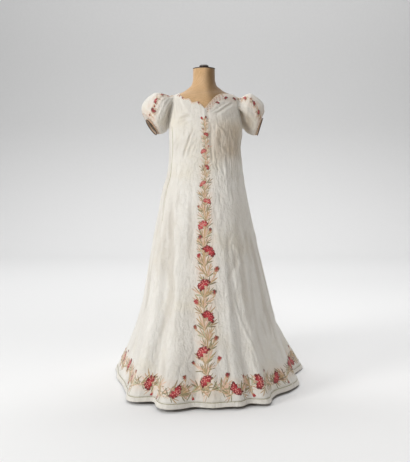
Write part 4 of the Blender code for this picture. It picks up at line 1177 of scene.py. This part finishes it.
silks = {
    "crimson": (0.46, 0.012, 0.022), "deep": (0.18, 0.006, 0.010), "rose": (0.72, 0.055, 0.075),
    "pink": (0.86, 0.26, 0.23), "blush": (0.88, 0.60, 0.48), "peach": (0.90, 0.61, 0.38),
    "tan": (0.60, 0.41, 0.23), "gold": (0.64, 0.42, 0.19), "olive": (0.26, 0.20, 0.095),
    "moss": (0.38, 0.35, 0.18), "pale": (0.60, 0.62, 0.40), "brown": (0.13, 0.055, 0.035),
    "russet": (0.27, 0.110, 0.055),
}
silkLooks = {
    "faded": (0.80, 0.66, 0.56),
    # painted shade in the grooves between the strands
    "strandGrooveShade": (0.55, 0.50, 0.46),
    "strandsPerMetre": 1400,
}
stitchShapes = {    # half width along a stroke, as a share of its full half width
    "leaf": [(0, 0.22), (0.16, 0.74), (0.42, 1), (0.70, 0.86), (0.90, 0.50), (1, 0.08)],
    "petal": [(0, 0.16), (0.22, 0.40), (0.48, 0.74), (0.74, 1), (0.90, 0.86), (1, 0.38)],
    "bud": [(0, 0.30), (0.2, 0.78), (0.45, 1), (0.7, 0.86), (0.9, 0.48), (1, 0.12)],
}


def silkFinish():
    finish = Finish("embroiderySilk", **{"Specular IOR Level": 0.4, "Sheen Weight": 0.2})
    faded = finish.noise(finish.objectPlace(), 140, 3, 0.6)
    strands = finish.ridges(finish.clothPlace("stitch"), "X", silkLooks["strandsPerMetre"])
    ridge = strands * 0.5 + 0.5
    colour = finish.mix(faded.within(0.45, 0.75) * 0.20, finish.painted("silk", "Color"),
                        silkLooks["faded"])
    # painted shade in the grooves between the strands
    finish.set("Base Color", finish.mix((1 - ridge) * 0.35, colour, silkLooks["strandGrooveShade"],
                                        "MULTIPLY"))
    finish.set("Roughness", 0.42 + faded * 0.25)
    finish.set("Normal", finish.bump(ridge, 0.45, 0.0004))
    return finish.material


class Needlework:               # strokes of satin stitch on one surface, joined as one piece
    def __init__(self, name, surface, grounds, middle, reach, steps):
        self.name, self.surface, self.grounds, self.middle = name, surface, grounds, middle
        self.reach, self.steps, self.scales = reach, steps, {}
        self.places, self.lifts, self.colours, self.stitches, self.faces = [], [], [], [], []
        self.count = 0

    def scale(self, a, b):      # metres per unit each way
        stepA, stepB = self.reach
        wide = self.surface(a + stepA, b) - self.surface(a - stepA, b)
        tall = self.surface(a, b + stepB) - self.surface(a, b - stepB)
        return (np.linalg.norm(wide, axis=-1) / (2 * stepA),
                np.linalg.norm(tall, axis=-1) / (2 * stepB))

    def scaleAt(self, place):
        if place not in self.scales:
            self.scales[place] = self.scale(*place)
        return self.scales[place]

    def lay(self, a, b, lift, colour, stitch):
        rows, columns = a.shape
        index = self.count + np.arange(rows * columns).reshape(rows, columns)
        self.faces.append(np.stack([index[:-1, :-1], index[:-1, 1:], index[1:, 1:],
                                    index[1:, :-1]], -1).reshape(-1, 4))
        self.places.append(np.stack([a, b], -1).reshape(-1, 2))
        self.lifts.append(np.broadcast_to(lift, a.shape).ravel())
        self.colours.append(np.broadcast_to(colour, (rows, columns, 3)).reshape(-1, 3))
        self.stitches.append(stitch.reshape(-1, 2))
        self.count += rows * columns

    def finishOff(self, finish):
        places = np.concatenate(self.places)
        a, b = places[:, 0], places[:, 1]
        points, (da, db) = self.surface(a, b), self.steps
        out = unit(np.cross(self.surface(a + da, b) - points, self.surface(a, b + db) - points))
        out *= np.sign((out * (points - self.middle(points))).sum(-1, keepdims=True))
        for i, (point, normal) in enumerate(zip(points, out)):
            start, back = Vector(point + normal * 0.02), Vector(-normal)
            hits = [tree.ray_cast(start, back, 0.04) for tree in self.grounds]
            hits = [hit for hit in hits if hit[0] is not None]
            if hits:
                points[i] = min(hits, key=lambda hit: hit[3])[0]
        points += out * np.concatenate(self.lifts)[:, None]
        mesh = bpy.data.meshes.new(self.name)
        mesh.from_pydata(points.tolist(), [], np.concatenate(self.faces).tolist())
        loops = np.empty(len(mesh.loops), int)
        mesh.loops.foreach_get("vertex_index", loops)
        mesh.uv_layers.new(name="stitch").data.foreach_set(
            "uv", np.concatenate(self.stitches)[loops].ravel())
        silk = np.ones((self.count, 4), np.float32)
        silk[:, :3] = np.concatenate(self.colours)
        mesh.attributes.new("silk", "FLOAT_COLOR", "POINT").data.foreach_set("color", silk.ravel())
        piece = placed(mesh, finish)
        normals = np.array([polygon.normal[:] for polygon in mesh.polygons])
        first = np.array([polygon.vertices[0] for polygon in mesh.polygons])
        if (normals * out[first]).sum() < 0:
            mesh.flip_normals()
        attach(piece, "root")
        return piece


def stroke(work, place, start, direction, length, width, colours, shape="leaf", bend=0,
           lift=0.0008, over=0, rim=0.34):
    # One satin-stitched leaf, petal or bud, laid from start, in metres right and up of its
    # place, towards a direction in degrees from the right. Colours are named from its base on.
    perA, perB = work.scaleAt(place)
    table = np.array(stitchShapes[shape])
    t, half = table[:, 0], table[:, 1] * width / 2
    way = np.radians(direction + bend * t)
    steps = np.diff(t)[:, None] * length
    line = np.stack([np.cos(way), np.sin(way)], -1)
    middle = np.vstack([[start], start + np.cumsum((line[1:] + line[:-1]) / 2 * steps, axis=0)])
    sides = np.linspace(-1, 1, 3)
    normal = np.stack([-line[:, 1], line[:, 0]], -1)
    flat = middle[:, None] + normal[:, None] * (half[:, None] * sides)[..., None]
    rise = lift * np.sin(np.pi * np.clip(t, 0.08, 0.92))[:, None]**0.5 * (1 - sides**2)
    rise = rise + (over - 0.00025) * sides**2 + over * (1 - sides**2)
    shades = np.array([silks[colour] for colour in colours.split()])
    along = np.linspace(0, 1, len(shades))
    colour = np.stack([np.interp(t, along, shades[:, k]) for k in range(3)], -1)[:, None] \
        * (1 - rim * sides**2)[None, :, None]
    stitch = np.stack(np.broadcast_arrays(half[:, None] * sides, (t * length)[:, None]), -1)
    work.lay(place[0] + flat[..., 0] / perA, place[1] + flat[..., 1] / perB, rise, colour, stitch)


def stem(work, points, width, colour, lift=0.0006, perUnit=5):
    # A line of stem stitch through places on the surface.
    line = throughPoints(points, perUnit)
    perA, perB = work.scale(line[:, 0], line[:, 1])
    way = unit(np.gradient(line, axis=0) * np.stack([perA, perB], -1))
    length = np.arange(len(line)) * 0.004       # near enough, for the strands
    sides = np.linspace(-1, 1, 3)
    shift = np.stack([-way[:, 1], way[:, 0]], -1)[:, None] * (sides * width / 2)[None, :, None]
    rise = np.broadcast_to(lift * (1 - sides**2) - 0.0002 * sides**2, (len(line), 3))
    stitch = np.stack(np.broadcast_arrays(sides * width / 2, length[:, None]), -1)
    work.lay(line[:, None, 0] + shift[..., 0] / perA[:, None],
             line[:, None, 1] + shift[..., 1] / perB[:, None], rise,
             np.array(silks[colour])[None, None], stitch)


def turned(direction, distance):
    way = math.radians(direction)
    return np.array([math.cos(way), math.sin(way)]) * distance


def cycle(i, *choices):         # the choices in turn, over and over
    return choices[i % len(choices)]


bloomLooks = {
    # colours of the petals, then of the lighter ones over them
    "tones": {"red": ("rose crimson deep", "blush pink rose"),
              "ripe": ("rose crimson deep", "pink rose crimson"),
              "pale": ("pink rose crimson", "blush blush pink"),
              # dark is a shaded copy of red: painted shade for blooms on the side away from the
              # light
              "dark": ("crimson deep brown", "pink rose crimson")},
    # the lighter petals' turns from the way the head faces, and shares of the size out
    "inner": [(-92, 0.56), (-66, 0.44), (-48, 0.70), (-22, 0.52), (-6, 0.74), (16, 0.48),
              (36, 0.66), (58, 0.50), (82, 0.64), (0, 0.24), (-44, 0.22), (46, 0.24)],
}


def bloom(work, place, facing, size, seed, tone="red"):
    # A pink seen from the side: a fan of dark petals with lighter ones over it, a dark tip
    # at each end of the fan, and a calyx below.
    rng = np.random.default_rng(seed)
    outer, inner = bloomLooks["tones"][tone]
    heart = -turned(facing, size * 0.24)
    for away in (-118, -98, -78, -58, -38, -16, 8, 30, 52, 74, 96, 116):
        reach = (0.78 + 0.30 * abs(math.sin(math.radians(away)))) * (1 if abs(away) < 100 else 0.55)
        stroke(work, place, heart + turned(facing + away, size * 0.05),
               facing + away + rng.uniform(-7, 7), size * reach * rng.uniform(0.84, 1.04),
               size * rng.uniform(0.38, 0.50), outer, "petal", rng.uniform(-12, 12), 0.0011,
               over=0.0006)
    for away, out in bloomLooks["inner"]:
        way = facing + away + rng.uniform(-8, 8)
        stroke(work, place, heart + turned(way, size * (out + rng.uniform(-0.06, 0.06))),
               way + rng.uniform(-30, 30), size * rng.uniform(0.17, 0.27),
               size * rng.uniform(0.15, 0.22), inner, "bud", over=0.0017, rim=0.1)
    for away in (-98, 98):
        stroke(work, place, heart + turned(facing + away, size * 0.78), facing + away * 1.1,
               size * 0.34, size * 0.24, "deep brown", "bud", lift=0.0010, over=0.0012)
    for away in (-26, 0, 26):
        stroke(work, place, heart - turned(facing, size * 0.66), facing + away, size * 0.36,
               size * 0.20, "moss peach blush", "leaf", away * 0.8, 0.0010, over=0.0014)


def bud(work, place, facing, size, seed, tone="deep"):
    rng = np.random.default_rng(seed)
    size = size * 1.35
    for away in (-34, 0, 34):
        stroke(work, place, turned(facing + away, size * 0.10), facing + away * 0.6,
               size * rng.uniform(0.85, 1.05), size * 0.42,
               ("tan " + tone if away else "rose crimson") + " " + tone, "bud", -away * 0.5,
               0.0010, over=0.0004)
    for away, out in ((-30, 0.42), (24, 0.62)):
        stroke(work, place, turned(facing + away, size * out), facing + away, size * 0.26,
               size * 0.18, "pink blush", "bud", over=0.0012, rim=0.15)
    for away in (-40, 40):
        stroke(work, place, -turned(facing, size * 0.40), facing + away, size * 0.95, size * 0.20,
               "peach peach blush", "leaf", -away * 1.3)
    stroke(work, place, -turned(facing, size * 0.50), facing, size * 0.6, size * 0.26,
           "moss peach", "bud", lift=0.0009)


def stalk(work, place, facing, size, foot):     # a curved thread from a bud to its stem
    perA, perB = work.scaleAt(place)
    drop = turned(facing, size * 0.55)
    top = (place[0] - drop[0] / float(perA), place[1] - drop[1] / float(perB))
    bend = (top[0] * 0.6 + foot[0] * 0.4 + 0.35 * np.sign(top[0] - foot[0]),
            (top[1] + foot[1]) / 2)
    stem(work, [top, bend, foot], 0.0022, "peach", 0.0006, 4)


def spray(work, place, facing, size, leaves, seed, inner, outer="tan moss olive", spread=60):
    # Narrow leaves fanned out from a short stalk, the outer ones darker.
    rng = np.random.default_rng(seed)
    tips = [inner, "tan gold tan", "moss tan olive", "peach blush tan"]
    for i in range(leaves):
        share = (i + 0.5) / leaves * 2 - 1
        away = share * spread + rng.uniform(-5, 5)
        tone = outer if abs(share) > 0.66 else tips[rng.integers(4)]
        stroke(work, place, turned(facing, size * 0.30 * (1 - abs(share))), facing + away * 0.85,
               size * rng.uniform(0.78, 1.12) * (1 - 0.26 * abs(share)),
               size * rng.uniform(0.125, 0.175), tone, "leaf", away * rng.uniform(-0.2, 0.4))
    stroke(work, place, -turned(facing, size * 0.15), facing, size * 0.6, 0.0018, "peach tan",
           "bud", lift=0.0006)


centreBand = {
    # angle, height, the way the head faces, size, tone
    "blooms": [(-0.6, 0.112, 135, 0.0290, "red"), (-2.6, 0.220, 136, 0.0285, "red"),
               (1.6, 0.360, 50, 0.0285, "ripe"), (-1.6, 0.486, 132, 0.0285, "red"),
               (4.0, 0.624, 52, 0.0275, "ripe"), (-1.4, 0.730, 128, 0.0230, "pale"),
               (3.2, 0.830, 70, 0.0170, "pale"), (-2.2, 0.904, 132, 0.0140, "pale"),
               (2.4, 0.974, 30, 0.0115, "red"), (-2.4, 1.042, 120, 0.0130, "pale"),
               (1.0, 1.114, 60, 0.0115, "red")],
    "buds": [(4.8, 0.262, 60, 0.0190), (-5.0, 0.404, 130, 0.0190), (5.8, 0.442, 80, 0.0170),
             (7.8, 0.534, 60, 0.0200), (-4.4, 0.590, 96, 0.0160), (-4.8, 0.668, 60, 0.0180),
             (-6.4, 0.306, 120, 0.0140), (6.6, 0.184, 66, 0.0160), (5.0, 0.700, 80, 0.0130),
             (-4.8, 0.800, 110, 0.0090), (-2.6, 1.176, 130, 0.0100), (0.2, 1.179, 70, 0.0085),
             (-2.2, 1.132, 130, 0.0060), (3.6, 1.060, 60, 0.0060), (-6.6, 0.170, 130, 0.0120)],
    "stem": [(-0.6, 0.034), (0.6, 0.080), (-0.6, 0.150), (0.6, 0.205), (0.3, 0.280), (-1.2, 0.335),
             (-1.6, 0.400), (0.4, 0.455), (1.0, 0.520), (0.0, 0.575), (-0.2, 0.640), (0.9, 0.700),
             (1.3, 0.760), (0.2, 0.830), (1.2, 0.900), (0.0, 0.970), (1.0, 1.040), (-0.4, 1.110),
             (-0.4, 1.168)],
    "sprays": (0.128, 1.165),   # heights they run between
    "sparse": 0.86,             # above this they have fewer leaves
    "spraySizes": [(0.05, 0.052), (0.5, 0.050), (0.8, 0.038), (1.0, 0.027), (1.17, 0.020)],
}
hemGarland = {
    "blooms": [(-71, 0.094, 160, 0.028, "red"), (-52, 0.078, 300, 0.027, "red"),
               (-34.6, 0.086, 175, 0.029, "red"), (-14.8, 0.074, 318, 0.029, "red"),
               (15.4, 0.076, 225, 0.029, "red"), (31, 0.096, 0, 0.029, "red"),
               (51.4, 0.074, 320, 0.028, "ripe"), (70, 0.098, 45, 0.028, "ripe"),
               (89, 0.064, 225, 0.028, "red")],
    "buds": [(-57.8, 0.052, -80, 0.011), (-44.4, 0.112, 110, 0.012), (-32.0, 0.050, -95, 0.010),
             (-26.8, 0.050, -70, 0.011), (-11.2, 0.116, 110, 0.015), (-7.0, 0.050, -70, 0.010),
             (11.0, 0.119, 75, 0.017), (21.6, 0.110, 90, 0.012), (26.0, 0.052, -60, 0.012),
             (38.6, 0.118, 70, 0.010), (60, 0.050, -90, 0.011), (80, 0.114, 80, 0.012)],
    "centre": 0.068,            # height of the main stem
    "swing": 0.010,             # how far the stem waves up and down
    "sprayStep": 0.043,         # metres between the sprays along the stem
    "shaded": (50, 105),        # degrees where its leaves are painted darker, as shade on the side away from the light
    "backStep": 13.2,           # degrees between the blooms behind
}

silk = silkFinish()
bpy.context.view_layer.update()
graph = bpy.context.evaluated_depsgraph_get()
gownGrounds = [BVHTree.FromObject(piece, graph)
               for piece in (gownFront, gownBack[1], gownBack[-1], *hemBands)]
gownWork = {name: Needlework("embroidery" + name, foldedPoint, gownGrounds,
                             lambda points: points * (0, 0, 1), (1.5, 0.006), (0.4, 0.0015))
            for name in ("Front", "BackLeft", "BackRight")}


def workAt(angle):              # the panel's needlework that a place belongs to
    angle = (angle + 180) % 360 - 180
    return gownWork["Front" if abs(angle) < 63.5 else "BackLeft" if angle > 0 else "BackRight"]


# the band up the centre front
band = gownWork["Front"]
stem(band, centreBand["stem"], 0.0026, "tan", 0.0008)
stem(band, [(angle - 0.9, height) for angle, height in centreBand["stem"][:-5]], 0.0022, "peach",
     0.0008)
for i, (angle, height, facing, size, tone) in enumerate(centreBand["blooms"]):
    bloom(band, (angle, height), facing, size, 20 + i, tone)
onStem = throughPoints(centreBand["stem"], 6)[:, ::-1]
for i, (angle, height, facing, size) in enumerate(centreBand["buds"]):
    bud(band, (angle, height), facing, size, 60 + i, cycle(i, "russet", "crimson", "brown"))
    foot = height - size * 2.6
    stalk(band, (angle, height), facing, size, (float(fromRows(foot, onStem)), foot))
rng = np.random.default_rng(5)
(height, top), i = centreBand["sprays"], 0
while height < top:
    angle, size = float(fromRows(height, onStem)), float(fromRows(height, centreBand["spraySizes"]))
    few = height > centreBand["sparse"]
    outerTones = ("pale pale moss", "moss olive olive", "peach tan tan",
                  "pale moss pale" if few else "olive moss olive")
    spray(band, (angle + cycle(i, 0.5, -0.6, 0.2), height), 90 + cycle(i, 10, -14, 4, -8),
          size * cycle(i, 1.0, 1.2, 0.88), 5 if few else 7, 100 + i, "peach blush peach")
    for side in (-1, 1):
        start = height + size * cycle(i + side, 0.2, 0.45, 0.3)
        spray(band, (angle + side * 0.5, start), 90 - side * rng.uniform(34, 62),
              size * cycle(i + side, 1.12, 0.86, 1.0), 3 if few else 4, 200 + 2 * i + side,
              "pink peach blush" if few else "tan moss tan", cycle(i * 3 + side, *outerTones), 42)
    height += size * 0.84
    i += 1

# the border above the hem
flowers = list(hemGarland["blooms"])
firstFront, lastFront = flowers[0][0], flowers[-1][0]
angle, i = lastFront + hemGarland["backStep"], 0
while angle < 360 + firstFront - hemGarland["backStep"] * 0.6:
    flowers.append((angle, cycle(i, 0.076, 0.098, 0.084), cycle(i, 225, 45, 315, 135),
                    cycle(i, 0.029, 0.027, 0.028), "red"))
    angle += hemGarland["backStep"]
    i += 1
for i, (angle, height, facing, size, tone) in enumerate(flowers):
    bloom(workAt(angle), (angle, height), facing, size, 300 + i, tone)
around = sorted([row[:2] for row in flowers] + [(-0.4, 0.09)])
around.append((around[0][0] + 360, around[0][1]))
buds = list(hemGarland["buds"])
for i, (here, following) in enumerate(zip(around, around[1:])):
    gap = following[0] - here[0]
    middle = (here[0] + following[0]) / 2
    perA, _ = workAt(middle).scaleAt((middle, 0.07))
    nodes = max(2, round(gap * float(perA) / hemGarland["sprayStep"]))
    steps, swing = nodes * 3, hemGarland["swing"] * (-1)**i
    centre = hemGarland["centre"]
    line = [(here[0] + gap * k / steps, centre + swing * math.sin(k / steps * math.tau))
            for k in range(steps + 1)]
    stem(workAt(middle), line, 0.0026, "tan", 0.0007, 2)
    for shift, tone in ((0.0065, "peach"), (-0.0060, "olive")):
        twined = [(angle, rise + shift * math.sin(3 * k)) for k, (angle, rise) in enumerate(line)]
        stem(workAt(middle), twined, 0.0020, tone, 0.0007, 2)
    for k in range(nodes):
        angle, rise = line[k * 3 + 1]
        lean, seed, work = cycle(k + i, 52, -44, 34, -56), 20 * i + k, workAt(angle)
        shaded = hemGarland["shaded"][0] < angle < hemGarland["shaded"][1]
        # darker leaves on the shaded side are painted shade
        spray(work, (angle, rise), 90 + lean, 0.062 * cycle(k + i, 1, 0.86, 1.10), 6, 400 + seed,
              "gold tan olive" if shaded else "peach blush peach",
              "olive russet brown" if shaded else "tan moss olive", 48)
        spray(work, (angle + 0.9, rise), -90 - lean * 1.2, 0.036, 4, 900 + seed,
              "peach tan tan", "moss moss olive", 52)
        spray(work, (angle + 0.4, rise), 90 - lean * 1.1, 0.052, 3, 1400 + seed,
              "tan moss tan", "pale pale moss" if k % 3 == 1 else "moss olive olive", 34)
    if here[0] >= lastFront or following[0] <= firstFront:
        buds.append((middle - gap * cycle(i, 0.18, 0.02, 0.30), cycle(i, 0.118, 0.108, 0.124),
                     cycle(i, 80, 118, 56), cycle(i, 0.012, 0.009, 0.011)))
        if i % 3 < 2:
            buds.append((middle + gap * (0.16, 0.26)[i % 3], 0.050, (-95, -64)[i % 3], 0.010))
for i, (angle, height, facing, size) in enumerate(buds):
    work = workAt(angle)
    bud(work, (angle, height), facing, size, 2000 + i, cycle(i, "deep", "russet", "crimson"))
    stalk(work, (angle, height), facing, size, (angle + 1.6, hemGarland["centre"]))

# the cord over the tuck above the hem band
for name, low, high in (("Front", -62.5, 62.5), ("BackLeft", 63.5, 179.5),
                        ("BackRight", -179.5, -63.5)):
    angles = np.append(np.arange(low, high, 1.0), high)
    stem(gownWork[name], list(zip(angles, hemHeight(angles) + gown["bandDepth"])), 0.0024, "moss",
         0.0011, 2)

# the neckline
neckWork = {        # angle and height, the way each faces, size, and colour
    "buds": [((-34, 1.268), 120, 0.0085, "deep"), ((-44.5, 1.279), 100, 0.0070, "brown"),
             ((-6.9, 1.2435), 100, 0.0085, "brown"), ((-52, 1.284), 80, 0.0060, "deep")],
    # these blooms, on the side away from the light, take the dark tone as painted shade
    "blooms": [((19.9, 1.2495), 60, 0.0085, "dark"), ((36.5, 1.2725), 130, 0.0095, "dark"),
               ((59.5, 1.2720), 60, 0.0095, "dark")],
    "drops": (0.012, 0.022),    # two more rows of sprigs below the left edge
    "backHeight": 1.2425,
    "sideSeam": [(-61.5, 1.150), (-62, 1.100), (-62.2, 1.050), (-61.4, 1.000), (-60.4, 0.940),
                 (-58.6, 0.874), (-57.6, 0.810), (-55.6, 0.740)],
}
per = gown["perUnit"]
edge = [tuple(place) for place in frontPlaces[-2]]
inside = [tuple(place) for place in frontPlaces[-4]]
right, left = slice(8 * per + 1, 17 * per - 2), slice(17 * per + 3, -8 * per - 1)
for part in (right, left):
    stem(band, edge[part][::3], 0.0022, "peach", 0.0007, 2)
for k in range(8 * per + 3, 17 * per - 3, 4):
    stroke(band, inside[k], (0, 0.001), 80 + (k % 3) * 12, 0.0065, 0.0028, "peach blush", "bud")
for place, facing, size, tone in neckWork["buds"]:
    bud(band, place, facing, size, int(size * 1e4), tone)
stem(band, inside[left][::3], 0.0018, "blush", 0.0005, 2)
for k in range(17 * per + 6, 25 * per, 3):
    spray(band, inside[k], 60 + 50 * (k % 2), 0.0105, 4, 2200 + k, "peach blush pink", spread=70)
for k in range(18 * per, 25 * per - 2, 3):
    angle, height = edge[k]
    for drop in neckWork["drops"]:
        place = (angle + (k % 2) * 0.8, height - drop - 0.002 * (k % 3))
        spray(band, place, 20 + 110 * (k % 2), 0.0095, 3, 5000 + 3 * k + int(drop * 1000),
              "blush peach blush", cycle(k // 3, "brown olive tan", "blush pink rose"))
for place, facing, size, tone in neckWork["blooms"]:
    bloom(band, place, facing, size, int(size * 1e5), tone)
for name, side in (("BackLeft", 1), ("BackRight", -1)):
    line = [(side * angle, neckWork["backHeight"]) for angle in np.arange(141, 179, 3.0)]
    stem(gownWork[name], line, 0.0018, "peach", 0.0006, 2)
    for k, place in enumerate(line):
        spray(gownWork[name], place, 90 + side * (30 - 60 * (k % 2)), 0.0100, 4, 2300 + k,
              "peach blush pink", spread=70)

# stitches down the seam at the wearer's right side
stem(band, neckWork["sideSeam"], 0.0026, "moss", 0.0004)

# the sleeves: a vine over the front of the puff, and sprigs round the cuff
sleeveVines = {
    -1: {"stem": [(148, 0.05), (151, 0.18), (146, 0.30), (137, 0.43), (131, 0.55), (122, 0.65),
                  (115, 0.74), (112, 0.84), (110, 0.91)],
         "blooms": [(148, 0.19, 30, 0.0085), (144, 0.31, 60, 0.0110), (131.5, 0.556, 40, 0.0125),
                    (115, 0.735, 100, 0.0120)],
         "buds": [(124, 0.64, 150, 0.0070), (118, 0.86, 60, 0.0080)]},
    1: {"stem": [(145, 0.05), (141, 0.16), (137, 0.27), (135, 0.42), (129, 0.56), (121, 0.67),
                 (116, 0.76), (112, 0.85), (110, 0.91)],
        "blooms": [(137.4, 0.27, 50, 0.0110), (129.4, 0.56, 60, 0.0110),
                   (116.4, 0.752, 90, 0.0095)],
        "buds": [(142, 0.12, 120, 0.0060), (133, 0.43, 30, 0.0060), (112, 0.86, 80, 0.0060)]},
}
sleeveWork = {}
for side, vine in sleeveVines.items():
    heart = (rings[side].mean(0) + cuffAxes(side)[0]) / 2
    work = Needlework("embroiderySleeve" + sleeves[side]["name"],
                      lambda turn, along, side=side: sleevePoint(side, turn, along),
                      [BVHTree.FromObject(sleevePiece[side], graph)],
                      lambda points, heart=heart: heart, (3, 0.02), (1, 0.005))
    sleeveWork[side] = work
    stem(work, vine["stem"], 0.0022, "tan", 0.0006, 5)
    for k, (turn, along, facing, size) in enumerate(vine["blooms"]):
        # every other bloom takes the dark tone, as painted shade
        bloom(work, (turn, along), facing, size, 3000 + k, "dark" if k % 2 else "red")
    for k, (turn, along, facing, size) in enumerate(vine["buds"]):
        bud(work, (turn, along), facing, size, 3100 + k)
    onVine = throughPoints(vine["stem"], 2)[1::2]
    for k, (turn, along) in enumerate(onVine):
        for lean in (-60, 60):
            spray(work, (float(turn), float(along)), -90 + lean, 0.018, 4,
                  3200 + 2 * k + (lean > 0), "peach blush peach", "tan tan moss", 40)
    for turn in range(8, 368, 15):
        spray(work, (float(turn), 0.925), 90 + (turn % 2) * 24, 0.0085, 4, 3300 + turn,
              "peach pink blush")

needlework = {name: work.finishOff(silk) for name, work in gownWork.items()}
sleeveNeedlework = {side: work.finishOff(silk) for side, work in sleeveWork.items()}
print("embroidery laid", [2 * len(piece.data.polygons) for piece in
                          (*needlework.values(), *sleeveNeedlework.values())], "triangles")


# the sleeves and panels put in place of their parts, stage, light and camera

for side, looks in sleeves.items():
    hangs(sleevePiece[side], "sleeve_" + looks["name"].lower(),
          ["gownFront"])
for piece, node, name in ((gownFront, "gown_front", "Front"),
                          (gownBack[1], "gown_back_left", "BackLeft"),
                          (gownBack[-1], "gown_back_right", "BackRight")):
    hangs(piece, node, ["dressFormBody"])

stage = {
    "depth": 6.0,
    "width": 9.0,
    "sweep": 1.6,               # radius of the sweep from the floor up to the backdrop
    "height": 7.0,
    "lights": [   # place, what it faces, width and height, watts, colour, spread in degrees
        ((-3.55, -2.4, 2.1), (0, 0, 1.10), 1.3, 2.0, 47.5, (1.0, 0.99, 0.97), 120),
        ((-0.1, 2.3, 5.0), (-0.2, 4.0, 0.6), 9.0, 2.8, 314, (1, 1, 1), 180),
        ((-1.4, -4.2, 5.0), (-0.2, -2.8, 0.2), 4.0, 2.4, 106, (1, 1, 1), 180),
        ((3.4, -1.6, 1.0), (0, 0, 0.6), 1.6, 1.6, 7, (1.0, 0.78, 0.58), 180),
        ((0.0, -2.5, 1.6), (-0.04, 0, 1.17), 0.7, 0.5, 0.22, (1.0, 0.95, 0.88), 46),
    ],
    "sky": (0.97, 0.985, 1.0),
    "skyStrength": 0.20,
    # the backdrop high up, painted darker as the light falls off
    "wall": (0.505, 0.505, 0.505),
    "floor": ((0.75, 0.75, 0.75), (0.97, 0.97, 0.97)),      # behind, and in front; a painted fall-off of the light
    "mottle": (0.85, 0.85, 0.85),
    "camera": (0.0045, -3, 0.95),
    "tilt": 85,                 # degrees up from straight down
    "lens": 51.9,
    "sensor": 36,
}


def backdropFinish():
    finish = Finish("paperSweep", **{"Roughness": 0.95, "Specular IOR Level": 0.1})
    place = finish.objectPlace()
    pale = finish.noise(place, 30, 4, 0.6)
    # painted fall-off of the light: darker up the backdrop and at the back of the floor, lighter in
    # front and to the right
    high = finish.part(place, "Z").within(-0.6, 2.8)
    forward = finish.part(place, "Y").within(1.2, -0.9)
    aside = finish.part(place, "X").within(-0.7, 0.9) * finish.part(place, "Y").within(3.0, 0.8)
    floor = finish.mix(forward * 0.5 + aside * 0.5, *stage["floor"])
    colour = finish.mix(high, floor, stage["wall"])
    finish.set("Base Color", finish.mix(pale.within(0.4, 0.7) * 0.03, colour, stage["mottle"]))
    return finish.material


def paperSweep():
    line = [(-4.0, 0)]
    for i in range(25):
        turn = math.pi / 2 * i / 24
        line.append((stage["depth"] - stage["sweep"] + stage["sweep"] * math.sin(turn),
                     stage["sweep"] * (1 - math.cos(turn))))
    line.append((stage["depth"], stage["height"]))
    half = stage["width"]
    vertices = [(x, y, z) for y, z in line for x in (-half, half)]
    faces = [(2 * i, 2 * i + 1, 2 * i + 3, 2 * i + 2) for i in range(len(line) - 1)]
    mesh = bpy.data.meshes.new("paperSweep")
    mesh.from_pydata(vertices, [], faces)
    placed(mesh, backdropFinish())


paperSweep()
for i, (place, aim, width, height, watts, colour, spread) in enumerate(stage["lights"]):
    lamp = bpy.data.lights.new("softbox%d" % i, "AREA")
    lamp.shape, lamp.size, lamp.size_y = "RECTANGLE", width, height
    lamp.energy, lamp.color, lamp.spread = watts, colour, math.radians(spread)
    box = bpy.data.objects.new("softbox%d" % i, lamp)
    box.location = place
    box.rotation_euler = (Vector(aim) - Vector(place)).to_track_quat("-Z", "Y").to_euler()
    bpy.context.scene.collection.objects.link(box)

world = bpy.data.worlds.new("studio")
world.use_nodes = True
background = world.node_tree.nodes["Background"].inputs
background["Color"].default_value = (*stage["sky"], 1)
background["Strength"].default_value = stage["skyStrength"]
bpy.context.scene.world = world
bpy.context.scene.view_settings.view_transform = "Standard"

view = bpy.data.cameras.new("camera")
view.sensor_fit, view.lens = "VERTICAL", stage["lens"]
view.sensor_width = view.sensor_height = stage["sensor"]
camera = bpy.data.objects.new("camera", view)
camera.location = stage["camera"]
camera.rotation_euler = (math.radians(stage["tilt"]), 0, 0)
bpy.context.scene.collection.objects.link(camera)
bpy.context.scene.camera = camera
print("stage lit")
